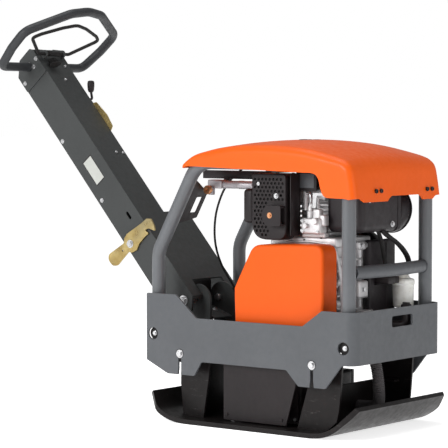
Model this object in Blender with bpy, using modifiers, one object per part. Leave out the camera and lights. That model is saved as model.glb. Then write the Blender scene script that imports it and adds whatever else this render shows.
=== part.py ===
"""Reversible plate compactor, 500 mm working width, standing ready for work.

Frame: metres, +X to the machine's front, +Y to its left, +Z up.
The origin lies on the ground, under the middle of the upper frame.
"""
import math

import bmesh
import bpy
from mathutils import Matrix, Vector

# ------------------------------------------------------------ driving sizes
GAP = 0.0003

PLATE_WIDTH = 0.500
PLATE_THICK = 0.014
PLATE_FLAT = (-0.209, 0.239)
PLATE_NOSE = (0.389, 0.085)
PLATE_TAIL = (-0.356, 0.079)
PLATE_CORNER = 0.034

GUARD_HALF = 0.2278
GUARD_FRONT = 0.3737
GUARD_REAR = -0.3737
GUARD_THICK = 0.006
GUARD_CORNER = 0.032
GUARD_NOSE = (0.209, 0.358)
BUFFER_X = (-0.247, 0.230)
BUFFER_Z = 0.203
BUFFER_RADIUS = 0.026

TUBE_RADIUS = 0.020
POST_Y = 0.197
POST_FRONT = 0.335
POST_REAR = -0.352
POST_FOOT = 0.235
POST_KNEE = 0.500
RAIL_Z = 0.768
RAIL_REAR = -0.203
BAR_Z = 0.465
BAR_RADIUS = 0.0185

HOOD_HALF = 0.227
HOOD_SHELL = 0.005
HOOD_CROWN = 0.019
EYE_X = 0.060

DECK = ((-0.345, 0.300), 0.2215, (0.258, 0.266))

PIVOT = (-0.322, 0.0, 0.348)
POLE_ANGLE = math.radians(40.8)
POLE_Y = (-0.117, 0.003)
POLE_N = (-0.069, 0.036)
POLE_END = 0.955
YOKE_HALF = 0.117
YOKE_TOP = 0.311
LOOP_U = 0.948
LOOP_RADIUS = 0.0140
LOOP_BASE_N = -0.012
LEVER_RADIUS = 0.0050
LEVER_AXIS_N = 0.052

CRANK_X = 0.130
CRANK_Z = 0.450
BELT_Y = -0.166
CLUTCH_RADIUS = 0.058
PULLEY_RADIUS = 0.040
BELT_THICK = 0.009
SHAFT_X = 0.055
SHAFT_Z = 0.082

# ------------------------------------------------------------ scene set-up
for old in list(bpy.data.objects):
    bpy.data.objects.remove(old, do_unlink=True)


def collection(name):
    made = bpy.data.collections.new(name)
    bpy.context.scene.collection.children.link(made)
    return made


PARTS = collection("plate_compactor")
TOOLS = collection("cutters_and_joins")


def material(name, colour, roughness=0.5, metallic=0.0):
    made = bpy.data.materials.new(name)
    made.use_nodes = True
    shader = made.node_tree.nodes["Principled BSDF"]
    shader.inputs["Base Color"].default_value = (*colour, 1.0)
    shader.inputs["Roughness"].default_value = roughness
    shader.inputs["Metallic"].default_value = metallic
    return made


ORANGE = (0.90, 0.15, 0.02)
GREY = (0.13, 0.14, 0.15)
TUBE_GREY = (0.10, 0.11, 0.12)
DARK = (0.045, 0.047, 0.050)
CAST = (0.030, 0.026, 0.025)
BLACK = (0.025, 0.022, 0.024)
SILVER = (0.62, 0.63, 0.65)
STEEL = (0.55, 0.56, 0.58)
ZINC = (0.45, 0.38, 0.18)
COPPER = (0.70, 0.32, 0.16)
RUBBER = (0.020, 0.020, 0.020)


def attach(obj, parent):
    """Parent a piece and everything that cuts or joins it."""
    obj.parent = parent
    for step in obj.modifiers:
        if step.type == "BOOLEAN":
            attach(step.object, parent)


def finish(obj, colour, roughness=0.5, metallic=0.0, parent=None):
    """Put an object among the parts, with a material of its own."""
    for owner in list(obj.users_collection):
        owner.objects.unlink(obj)
    PARTS.objects.link(obj)
    obj.data.materials.clear()
    obj.data.materials.append(material(obj.name + "_mat", colour, roughness, metallic))
    if parent is not None:
        attach(obj, parent)
    return obj


def as_tool(obj):
    """Hide an object that only cuts or joins another."""
    for owner in list(obj.users_collection):
        owner.objects.unlink(obj)
    TOOLS.objects.link(obj)
    obj.hide_render = True
    obj.display_type = "WIRE"
    return obj


def mesh_object(name, builder):
    mesh = bpy.data.meshes.new(name)
    made = bmesh.new()
    builder(made)
    made.to_mesh(mesh)
    made.free()
    obj = bpy.data.objects.new(name, mesh)
    bpy.context.scene.collection.objects.link(obj)
    return obj


def block(name, low, high, bevel=0.0, segments=2):
    """A box between two corners, with rounded edges if asked."""
    centre = (Vector(low) + Vector(high)) / 2
    size = Vector(high) - Vector(low)

    def build(bm):
        bmesh.ops.create_cube(bm, size=1.0, matrix=Matrix.Diagonal((*size, 1.0)))

    obj = mesh_object(name, build)
    obj.location = centre
    if bevel:
        edge = obj.modifiers.new("edges", "BEVEL")
        edge.width = bevel
        edge.segments = segments
        edge.limit_method = "ANGLE"
    return obj


AXES = {"X": Matrix.Rotation(math.pi / 2, 4, "Y"),
        "Y": Matrix.Rotation(-math.pi / 2, 4, "X"),
        "Z": Matrix.Identity(4)}


def drum(name, centre, axis, radius, depth, sides=24, tip=None, bevel=0.0):
    """A cylinder or a cone about a world axis, centred on a point."""
    def build(bm):
        bmesh.ops.create_cone(bm, cap_ends=True, segments=sides, radius1=radius,
                              radius2=radius if tip is None else tip, depth=depth)

    obj = mesh_object(name, build)
    obj.matrix_world = Matrix.Translation(centre) @ AXES[axis]
    obj.data.shade_smooth()
    obj.data.set_sharp_from_angle(angle=math.radians(40))
    if bevel:
        edge = obj.modifiers.new("edges", "BEVEL")
        edge.width = bevel
        edge.segments = 2
        edge.limit_method = "ANGLE"
        edge.angle_limit = math.radians(50)
    return obj


def turned(name, profile, centre, axis, steps=24):
    """A solid turned about an axis: profile points are (radius, height), top to bottom."""
    mesh = bpy.data.meshes.new(name)
    points = [(radius, 0.0, height) for radius, height in profile]
    mesh.from_pydata(points, [(i, i + 1) for i in range(len(points) - 1)], [])
    obj = bpy.data.objects.new(name, mesh)
    bpy.context.scene.collection.objects.link(obj)
    screw = obj.modifiers.new("turn", "SCREW")
    screw.steps = steps
    screw.render_steps = steps
    screw.use_merge_vertices = True
    screw.merge_threshold = 0.00005
    obj.matrix_world = Matrix.Translation(centre) @ AXES[axis]
    return obj


PLANES = {"XZ": Matrix.Rotation(math.pi / 2, 4, "X"),
          "XY": Matrix.Identity(4),
          "YZ": Matrix(((0, 0, 1, 0), (1, 0, 0, 0), (0, 1, 0, 0), (0, 0, 0, 1)))}


def bake(obj):
    """Turn a curve into a mesh with its caps welded on."""
    bpy.context.view_layer.update()
    graph = bpy.context.evaluated_depsgraph_get()
    mesh = bpy.data.meshes.new_from_object(obj.evaluated_get(graph))
    made = bmesh.new()
    made.from_mesh(mesh)
    bmesh.ops.remove_doubles(made, verts=made.verts, dist=0.00002)
    bmesh.ops.recalc_face_normals(made, faces=made.faces)
    made.to_mesh(mesh)
    made.free()
    name = obj.name
    world = obj.matrix_world.copy()
    obj.name = name + "_curve"
    bpy.data.objects.remove(obj, do_unlink=True)
    solid = bpy.data.objects.new(name, mesh)
    bpy.context.scene.collection.objects.link(solid)
    solid.matrix_world = world
    return solid


def prism(name, outline, plane, low, high, holes=()):
    """A flat outline in a plane, drawn out between two distances along its normal."""
    curve = bpy.data.curves.new(name, "CURVE")
    curve.dimensions = "2D"
    curve.fill_mode = "BOTH"
    curve.extrude = (high - low) / 2
    for ring in (outline, *holes):
        spline = curve.splines.new("POLY")
        spline.points.add(len(ring) - 1)
        for point, (a, b) in zip(spline.points, ring):
            point.co = (a, b, 0.0, 1.0)
        spline.use_cyclic_u = True
    obj = bpy.data.objects.new(name, curve)
    bpy.context.scene.collection.objects.link(obj)
    middle = (low + high) / 2
    shift = {"XZ": (0, middle, 0), "XY": (0, 0, middle), "YZ": (middle, 0, 0)}[plane]
    obj.matrix_world = Matrix.Translation(shift) @ PLANES[plane]
    return bake(obj)


def rounded_path(corners, radius, steps=5, closed=False):
    """A run of straight lines with its corners rounded to a radius, or to one each."""
    points = [Vector(corner) for corner in corners]
    count = len(points)
    path = []
    for i, here in enumerate(points):
        if not closed and i in (0, count - 1):
            path.append(here)
            continue
        back = points[i - 1] - here
        ahead = points[(i + 1) % count] - here
        half = back.angle(ahead) / 2
        bend = radius[i] if isinstance(radius, tuple) else radius
        reach = min(bend / math.tan(half), back.length * 0.49, ahead.length * 0.49)
        start = here + back.normalized() * reach
        end = here + ahead.normalized() * reach
        for k in range(steps + 1):
            t = k / steps
            path.append(start.lerp(here, t).lerp(here.lerp(end, t), t))
    return path


def tube(name, path, radius, resolution=3, closed=False):
    """A round bar that follows a path."""
    curve = bpy.data.curves.new(name, "CURVE")
    curve.dimensions = "3D"
    curve.bevel_depth = radius
    curve.bevel_resolution = resolution
    curve.use_fill_caps = not closed
    spline = curve.splines.new("POLY")
    spline.points.add(len(path) - 1)
    for point, place in zip(spline.points, path):
        point.co = (*place, 1.0)
    spline.use_cyclic_u = closed
    obj = bpy.data.objects.new(name, curve)
    bpy.context.scene.collection.objects.link(obj)
    obj = bake(obj)
    obj.data.shade_smooth()
    obj.data.set_sharp_from_angle(angle=math.radians(50))
    return obj


def combine(obj, others, operation):
    for other in others:
        step = obj.modifiers.new(operation.lower(), "BOOLEAN")
        step.operation = operation
        step.solver = "EXACT"
        step.object = as_tool(other)
    return obj


def cut(obj, *others):
    return combine(obj, others, "DIFFERENCE")


def join(obj, *others):
    return combine(obj, others, "UNION")


def common(obj, *others):
    return combine(obj, others, "INTERSECT")


def arc(centre, radius, start, end, steps):
    """Points on an arc in a plane, angles in degrees."""
    return [(centre[0] + radius * math.cos(math.radians(start + (end - start) * k / steps)),
             centre[1] + radius * math.sin(math.radians(start + (end - start) * k / steps)))
            for k in range(steps + 1)]


def bolt(name, centre, axis, head, shank, length, head_height):
    """A hexagon bolt: the head ends at the centre and the shank points along the axis."""
    sign = -1 if axis.startswith("-") else 1
    letter = axis[-1]
    step = Vector([sign if letter == c else 0 for c in "XYZ"])
    body = drum(name, Vector(centre) - step * head_height / 2, letter, head, head_height, 6)
    rod = drum(name + "_shank", Vector(centre) + step * (length - 0.001) / 2, letter,
               shank, length + 0.001, 10)
    return join(body, rod)


# ------------------------------------------------------------ lower mass
def base_plate():
    rise = [PLATE_TAIL, (-0.321, 0.033), (-0.290, 0.014), (-0.250, 0.003), (PLATE_FLAT[0], 0.0),
            (PLATE_FLAT[1], 0.0), (0.285, 0.006), (0.325, 0.024), (0.358, 0.050), PLATE_NOSE]
    upper = []
    for i, (x, z) in enumerate(rise):
        before = Vector(rise[max(i - 1, 0)])
        after = Vector(rise[min(i + 1, len(rise) - 1)])
        run = (after - before).normalized()
        upper.append((x - run.y * PLATE_THICK, z + run.x * PLATE_THICK))
    half = PLATE_WIDTH / 2
    plate = prism("base_plate", rise + upper[::-1], "XZ", -half, half)
    front = 0.395
    rear = -0.372
    nip = PLATE_CORNER
    plan = [(rear, -half + nip), (rear + 0.05, -half), (front - 0.045, -half),
            (front, -half + nip), (front, half - nip), (front - 0.045, half),
            (rear + 0.05, half), (rear, half - nip)]
    common(plate, prism("base_plan", plan, "XY", -0.02, 0.14))
    side_brackets(plate)
    wall = block("cross_web", (0.186, -0.180, PLATE_THICK - 0.002), (0.194, 0.180, 0.125))
    cut(wall, drum("conduit_port", (0.190, 0.060, 0.056), "X", 0.022, 0.05, 20))
    join(plate, wall, block("rear_cross_web", (-0.262, -0.180, PLATE_THICK),
                            (-0.254, 0.180, 0.188)))
    return finish(plate, CAST, 0.45, 0.6)


def exciter():
    floor = PLATE_THICK + GAP
    housing = block("exciter_housing", (-0.125, -0.130, floor), (0.125, 0.130, 0.152), 0.010)
    cut(housing, block("exciter_hollow", (-0.117, -0.14, floor + 0.008), (0.117, 0.14, 0.144)))
    finish(housing, CAST, 0.5, 0.6)
    for side, name in ((-1, "exciter_cover_right"), (1, "exciter_cover_left")):
        inner = 0.130 + GAP
        low, high = sorted((side * inner, side * (inner + 0.012)))
        cover = block(name, (-0.122, low, floor + 0.002), (0.122, high, 0.150), 0.003, 1)
        if side < 0:
            cut(cover, drum("drive_port", (SHAFT_X, -0.137, SHAFT_Z), "Y", 0.017, 0.05, 20))
        finish(cover, CAST, 0.5, 0.6)
    for spin, x in (("exciter_shaft_front", SHAFT_X), ("exciter_shaft_rear", -SHAFT_X)):
        reach = -0.186 if x > 0 else -0.126
        middle = (reach + 0.126) / 2
        shaft = drum(spin, (x, middle, SHAFT_Z), "Y", 0.0155, 0.126 - reach, 20)
        sector = arc((x, SHAFT_Z), 0.046, 180, 360, 10)
        weight = prism(spin + "_weight", sector, "XZ", -0.085, 0.060)
        gear = drum(spin + "_gear", (x, 0.095, SHAFT_Z), "Y", 0.0545, 0.022, 24)
        finish(join(shaft, weight, gear), STEEL, 0.35, 1.0)


def side_brackets(plate):
    """Four upright webs, welded to the base plate, that carry the rubber buffers."""
    weld = PLATE_THICK - 0.002
    for side, hand in ((-1, "right"), (1, "left")):
        for x, end in ((BUFFER_X[0], "rear"), (BUFFER_X[1], "front")):
            if end == "front":
                outline = [(x - 0.080, weld), (0.252, weld), (0.288, 0.042), (0.296, 0.080),
                           (0.302, 0.150), (0.306, 0.215), (0.290, 0.229)]
            else:
                outline = [(-0.268, 0.018), (-0.240, 0.012), (-0.209, weld), (-0.191, weld),
                           (-0.172, 0.130), (-0.165, 0.205), (-0.176, 0.222)]
            top = arc((x, BUFFER_Z), 0.030, 60, 165, 6)
            tail = [(x - 0.046, 0.125)] if end == "front" else [(x - 0.030, 0.110)]
            low, high = sorted((side * 0.178, side * 0.186))
            web = prism("bracket_%s_%s" % (end, hand), outline + top + tail, "XZ", low, high)
            shelf = block(web.name + "_shelf", (x - 0.03, min(side * 0.150, side * 0.180),
                                                0.120), (x + 0.03, max(side * 0.150, side * 0.180),
                                                         0.127))
            join(plate, web, shelf)


def buffers():
    """Rubber blocks between the webs and the guard, each held by a bolt from outside."""
    for side, hand in ((-1, "right"), (1, "left")):
        for x, end in ((BUFFER_X[0], "rear"), (BUFFER_X[1], "front")):
            inner = 0.186 + GAP
            outer = GUARD_HALF - GUARD_THICK - GAP
            middle = side * (inner + outer) / 2
            pad = drum("buffer_%s_%s" % (end, hand), (x, middle, BUFFER_Z), "Y",
                       BUFFER_RADIUS, outer - inner, 20)
            cut(pad, drum(pad.name + "_bore", (x, side * (outer - 0.005), BUFFER_Z), "Y",
                          0.0052, 0.014, 12))
            finish(pad, RUBBER, 0.8)
            screw = bolt("buffer_bolt_%s_%s" % (end, hand),
                         (x, side * (GUARD_HALF - 0.001), BUFFER_Z), "-Y" if side > 0 else "Y",
                         0.0095, 0.0045, 0.016, 0.006)
            finish(screw, STEEL, 0.3, 1.0)


def lower_belt_cover():
    cover = prism("lower_belt_cover",
                  [(-0.105, PLATE_THICK + 0.004), (0.121, PLATE_THICK + 0.004), (0.155, 0.140),
                   (0.158, 0.215), (-0.105, 0.215)], "XZ", -0.200, -0.195)
    arm = block("cover_arm", (-0.100, -0.196, 0.060), (-0.070, -0.1426, 0.110))
    return finish(join(cover, arm), BLACK, 0.5)


# ------------------------------------------------------------ belt drive
def belt_drive():
    pulley = drum("exciter_pulley", (SHAFT_X, BELT_Y, SHAFT_Z), "Y", PULLEY_RADIUS, 0.026, 28)
    cut(pulley, drum("pulley_bore", (SHAFT_X, BELT_Y, SHAFT_Z), "Y", 0.0158, 0.05, 20))
    flange = [drum("pulley_flange_%d" % i, (SHAFT_X, BELT_Y + y, SHAFT_Z), "Y",
                   PULLEY_RADIUS + 0.011, 0.003, 28) for i, y in enumerate((-0.0125, 0.0125))]
    for ring in flange:
        cut(ring, drum(ring.name + "_bore", (SHAFT_X, BELT_Y, SHAFT_Z), "Y", 0.0158, 0.05, 20))
    finish(join(pulley, *flange), STEEL, 0.4, 1.0)
    clutch = drum("clutch_pulley", (CRANK_X, BELT_Y, CRANK_Z), "Y", CLUTCH_RADIUS, 0.026, 32)
    sides = [drum("clutch_flange_%d" % i, (CRANK_X, BELT_Y + y, CRANK_Z), "Y",
                  CLUTCH_RADIUS + 0.011, 0.003, 32) for i, y in enumerate((-0.0125, 0.0125))]
    join(clutch, *sides)
    cut(clutch, drum("clutch_bore", (CRANK_X, BELT_Y, CRANK_Z), "Y", 0.0128, 0.08, 20))
    finish(clutch, STEEL, 0.4, 1.0)
    lower = Vector((SHAFT_X, SHAFT_Z))
    upper = Vector((CRANK_X, CRANK_Z))
    span = upper - lower
    lean = math.degrees(math.atan2(span.y, span.x))
    swing = math.degrees(math.asin((CLUTCH_RADIUS - PULLEY_RADIUS) / span.length))

    def ring(extra):
        start = lean + 90 + swing
        loop = arc(lower, PULLEY_RADIUS + extra, start, start + 180 - 2 * swing, 12)
        return loop + arc(upper, CLUTCH_RADIUS + extra, lean - 90 - swing,
                          lean + 90 + swing, 14)

    belt = prism("drive_belt", ring(BELT_THICK), "XZ", BELT_Y - 0.0085, BELT_Y + 0.0085,
                 holes=(ring(0.0006),))
    return finish(belt, RUBBER, 0.8)


def belt_guard():
    outline = [(-0.066, 0.300), (-0.069, 0.397), (-0.062, 0.425), (-0.024, 0.486),
               (-0.006, 0.522), (0.012, 0.534), (0.196, 0.540), (0.222, 0.534), (0.240, 0.518),
               (0.248, 0.494),
               (0.248, 0.300)]
    shell = prism("belt_guard", outline, "XZ", -0.200, -0.132)
    inner = [(-0.062, 0.290), (-0.065, 0.397), (-0.058, 0.423), (-0.020, 0.484),
             (-0.003, 0.519), (0.013, 0.530), (0.195, 0.536), (0.220, 0.530), (0.236, 0.515),
             (0.244, 0.493),
             (0.244, 0.290)]
    cut(shell, prism("belt_guard_hollow", inner, "XZ", -0.196, -0.110))
    return finish(shell, ORANGE, 0.35)


# ------------------------------------------------------------ upper frame
def guard_outline():
    """Side view of the wrap-round guard, with its dips over the buffers."""
    top = [(GUARD_REAR, 0.377), (-0.262, 0.377), (-0.1855, 0.311), (0.197, 0.311),
           (0.264, GUARD_NOSE[1]), (GUARD_FRONT, GUARD_NOSE[1])]
    bottom = [(GUARD_FRONT, GUARD_NOSE[0]), (0.332, GUARD_NOSE[0]), (0.277, 0.140),
              (0.1835, 0.140), (0.141, 0.1836), (-0.1665, 0.1836), (-0.193, 0.1412),
              (-0.293, 0.1412), (GUARD_REAR, 0.1776)]
    return top + bottom


def keyhole(x):
    """A bolt hole that is open below, so that a buffer can slide out."""
    ring = arc((x, BUFFER_Z), 0.0142, -68, 248, 12)
    return ring + [(x - 0.0053, 0.160), (x - 0.011, 0.120), (x + 0.011, 0.120),
                   (x + 0.0053, 0.160)]


def guard_frame():
    half = GUARD_HALF
    body = prism("guard_frame", guard_outline(), "XZ", -half, half)
    bend = GUARD_CORNER
    outer = [(GUARD_REAR - 0.01, -half)]
    outer += arc((GUARD_FRONT - bend, -half + bend), bend, -90, 0, 6)
    outer += arc((GUARD_FRONT - bend, half - bend), bend, 0, 90, 6)
    outer += [(GUARD_REAR - 0.01, half), (GUARD_REAR - 0.01, half - GUARD_THICK)]
    inner = arc((GUARD_FRONT - bend, half - bend), bend - GUARD_THICK, 90, 0, 6)
    inner += arc((GUARD_FRONT - bend, -half + bend), bend - GUARD_THICK, 0, -90, 6)
    plan = outer + inner + [(GUARD_REAR - 0.01, -half + GUARD_THICK)]
    common(body, prism("guard_plan", plan, "XY", 0.10, 0.42))
    for x in BUFFER_X:
        cut(body, prism("keyhole_%d" % (x > 0), keyhole(x), "XZ", -0.26, 0.26))
    for x in (POST_FRONT + 0.002, POST_REAR + 0.003):
        cut(body, drum("post_port_%d" % (x > 0), (x, 0, 0.257), "Y", 0.0182, 0.52, 20))
    cut(body, block("hand_hole", (0.34, -0.037, 0.3035), (0.40, 0.071, 0.3355), 0.008))
    return finish(body, GREY, 0.55, 0.3)


def cage():
    for side, hand in ((-1, "right"), (1, "left")):
        y = side * POST_Y
        path = rounded_path([(POST_REAR, y, POST_FOOT), (POST_REAR, y, POST_KNEE),
                             (RAIL_REAR, y, RAIL_Z), (POST_FRONT, y, RAIL_Z),
                             (POST_FRONT, y, POST_FOOT)],
                            (0, 0.090, 0.090, 0.060, 0))
        finish(tube("cage_tube_" + hand, path, TUBE_RADIUS, 3), TUBE_GREY, 0.45, 0.3)
    reach = POST_Y - TUBE_RADIUS - GAP
    bar = rounded_path([(POST_FRONT, -reach, BAR_Z), (POST_FRONT + 0.004, -reach + 0.05, BAR_Z),
                        (POST_FRONT + 0.019, 0, BAR_Z), (POST_FRONT + 0.004, reach - 0.05, BAR_Z),
                        (POST_FRONT, reach, BAR_Z)], 0.25, 3)
    finish(tube("front_crossbar", bar, BAR_RADIUS, 3), GREY, 0.55, 0.3)
    rail = drum("lifting_eye", (EYE_X, 0, RAIL_Z - 0.014), "Y", 0.014, 2 * reach, 16)
    foot = RAIL_Z - 0.018
    loop = rounded_path([(EYE_X, -0.030, foot), (EYE_X, -0.030, 0.829),
                         (EYE_X, 0.030, 0.829), (EYE_X, 0.030, foot)], 0.028, 6)
    finish(join(rail, tube("eye_loop", loop, 0.006, 2)), DARK, 0.5, 0.3)


def catch_plate():
    """Slotted tab on the right rear tube, which the transport hook drops into."""
    lean = math.atan2(RAIL_REAR - POST_REAR, RAIL_Z - POST_KNEE)
    inner = -POST_Y + TUBE_RADIUS + GAP
    plate = prism("catch_plate",
                  [(inner, 0.100), (-0.097, 0.118), (-0.097, 0.205), (inner, 0.250)], "YZ",
                  0.004, 0.009,
                  holes=([(-0.140, 0.135), (-0.112, 0.135), (-0.112, 0.190), (-0.140, 0.190)],))
    plate.matrix_world = (Matrix.Translation((POST_REAR, 0, POST_KNEE))
                          @ Matrix.Rotation(lean, 4, "Y") @ plate.matrix_world)
    return finish(plate, DARK, 0.5, 0.3)


def deck():
    (rear, front), half, (low, high) = DECK
    plate = block("engine_deck", (rear, -half, low), (front, half, high))
    cut(plate, block("belt_slot", (-0.060, -0.23, 0.2), (0.235, -0.135, 0.3)))
    for side in (-1, 1):
        cut(plate, block("post_relief_%d" % side, (-0.40, min(side * 0.170, side * 0.25), 0.2),
                         (-0.325, max(side * 0.170, side * 0.25), 0.3)))
    return finish(plate, DARK, 0.5, 0.3)


def pivot_bracket():
    foot = DECK[2][1] + GAP
    bracket = block("pivot_bracket", (-0.341, -0.066, foot), (-0.261, 0.066, foot + 0.008))
    ears = []
    for side in (-1, 1):
        low, high = sorted((side * 0.056, side * 0.064))
        outline = [(-0.262, foot + 0.001), (-0.262, PIVOT[2])]
        outline += arc((PIVOT[0] + 0.012, PIVOT[2]), 0.048, 0, 180, 10)[1:-1]
        outline += [(-0.358, PIVOT[2]), (-0.340, foot + 0.001)]
        ear = prism("pivot_ear_%d" % side, outline, "XZ", low, high)
        ears.append(ear)
    join(bracket, *ears)
    cut(bracket, drum("pivot_bore", PIVOT, "Y", 0.0068, 0.30, 16))
    tab = block("stop_plate", (-0.040, -0.045, -0.003), (0.040, 0.045, 0.003))
    tab.matrix_world = (Matrix.Translation((-0.300, 0.0, 0.306))
                        @ Matrix.Rotation(math.radians(20), 4, "Y"))
    legs = [block("stop_leg_%d" % side, (-0.300, side * 0.030 - 0.003, foot + 0.004),
                  (-0.280, side * 0.030 + 0.003, 0.304)) for side in (-1, 1)]
    finish(join(bracket, tab, *legs), DARK, 0.5, 0.3)
    for side, hand in ((-1, "right"), (1, "left")):
        start = side * (YOKE_HALF + GAP)
        screw = bolt("pivot_bolt_" + hand, (PIVOT[0], start, PIVOT[2]),
                     "-Y" if side > 0 else "Y", 0.0125, 0.0063, 0.070, 0.008)
        nut = drum(screw.name + "_nut", (PIVOT[0], side * 0.0500, PIVOT[2]), "Y", 0.0115,
                   0.011, 6)
        sleeve = drum(screw.name + "_sleeve", (PIVOT[0], side * 0.0870, PIVOT[2]), "Y", 0.0105,
                      0.045, 14)
        finish(join(screw, nut, sleeve), STEEL, 0.25, 1.0)


def hood_outline(inset):
    """Side view of the hood's top, tail to nose, moved in by the shell's thickness."""
    crown = [(-0.239, 0.752), (-0.236, 0.765), (-0.205, 0.789), (-0.160, 0.806), (-0.110, 0.819),
             (-0.050, 0.829), (0.040, 0.834), (0.130, 0.833), (0.210, 0.826), (0.280, 0.812),
             (0.330, 0.793), (0.352, 0.778), (0.362, 0.758)]
    moved = []
    for x, z in crown:
        moved.append((x + inset if x < -0.2 else x - inset * (x > 0.3), z - inset))
    return moved + [(0.375 - inset, 0.671)]


def hood():
    low = 0.660
    top = prism("hood", hood_outline(0.0) + [(0.376, low), (-0.241, low)], "XZ",
                -HOOD_HALF, HOOD_HALF)
    crest = 0.834
    half = HOOD_HALF

    def section(inset, base):
        side = half - inset
        peak = crest - inset
        ring = [(-side, base), (-side, peak - HOOD_CROWN - 0.022)]
        ring += arc((-side + 0.022, peak - HOOD_CROWN - 0.022), 0.022, 180, 100, 4)[1:]
        ring += [(side * t, peak - HOOD_CROWN * t * t) for t in (-0.6, -0.3, 0.0, 0.3, 0.6)]
        ring += arc((side - 0.022, peak - HOOD_CROWN - 0.022), 0.022, 80, 0, 4)[:-1]
        return ring + [(side, peak - HOOD_CROWN - 0.022), (side, base)]

    common(top, prism("hood_section", section(0.0, low - 0.01), "YZ", -0.30, 0.45))
    hollow = prism("hood_hollow", hood_outline(HOOD_SHELL) + [(0.371, 0.60), (-0.234, 0.60)],
                   "XZ", -half, half)
    common(hollow, prism("hollow_section", section(HOOD_SHELL, 0.59), "YZ", -0.30, 0.45))
    cut(top, hollow)
    skirt = [(-0.30, 0.60), (-0.30, 0.758), (-0.235, 0.757), (0.230, 0.743), (0.246, 0.735),
             (0.254, 0.715), (0.262, 0.690), (0.275, 0.672), (0.45, 0.672), (0.45, 0.60)]
    cut(top, prism("hood_skirt", skirt, "XZ", -0.26, 0.26))
    dip = [(-0.3, 0.60), (-0.3, 0.675), (-0.190, 0.675), (-0.178, 0.663), (-0.060, 0.663),
           (-0.048, 0.678), (0.110, 0.678), (0.122, 0.663), (0.178, 0.663), (0.190, 0.675),
           (0.3, 0.675), (0.3, 0.60)]
    cut(top, prism("hood_dip", dip, "YZ", 0.30, 0.45))
    cut(top, prism("eye_port", [(EYE_X + 0.022 * math.cos(a), 0.048 * math.sin(a))
                                for a in [math.tau * k / 16 for k in range(16)]], "XY",
                   0.79, 0.86))
    return finish(top, ORANGE, 0.3)


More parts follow.
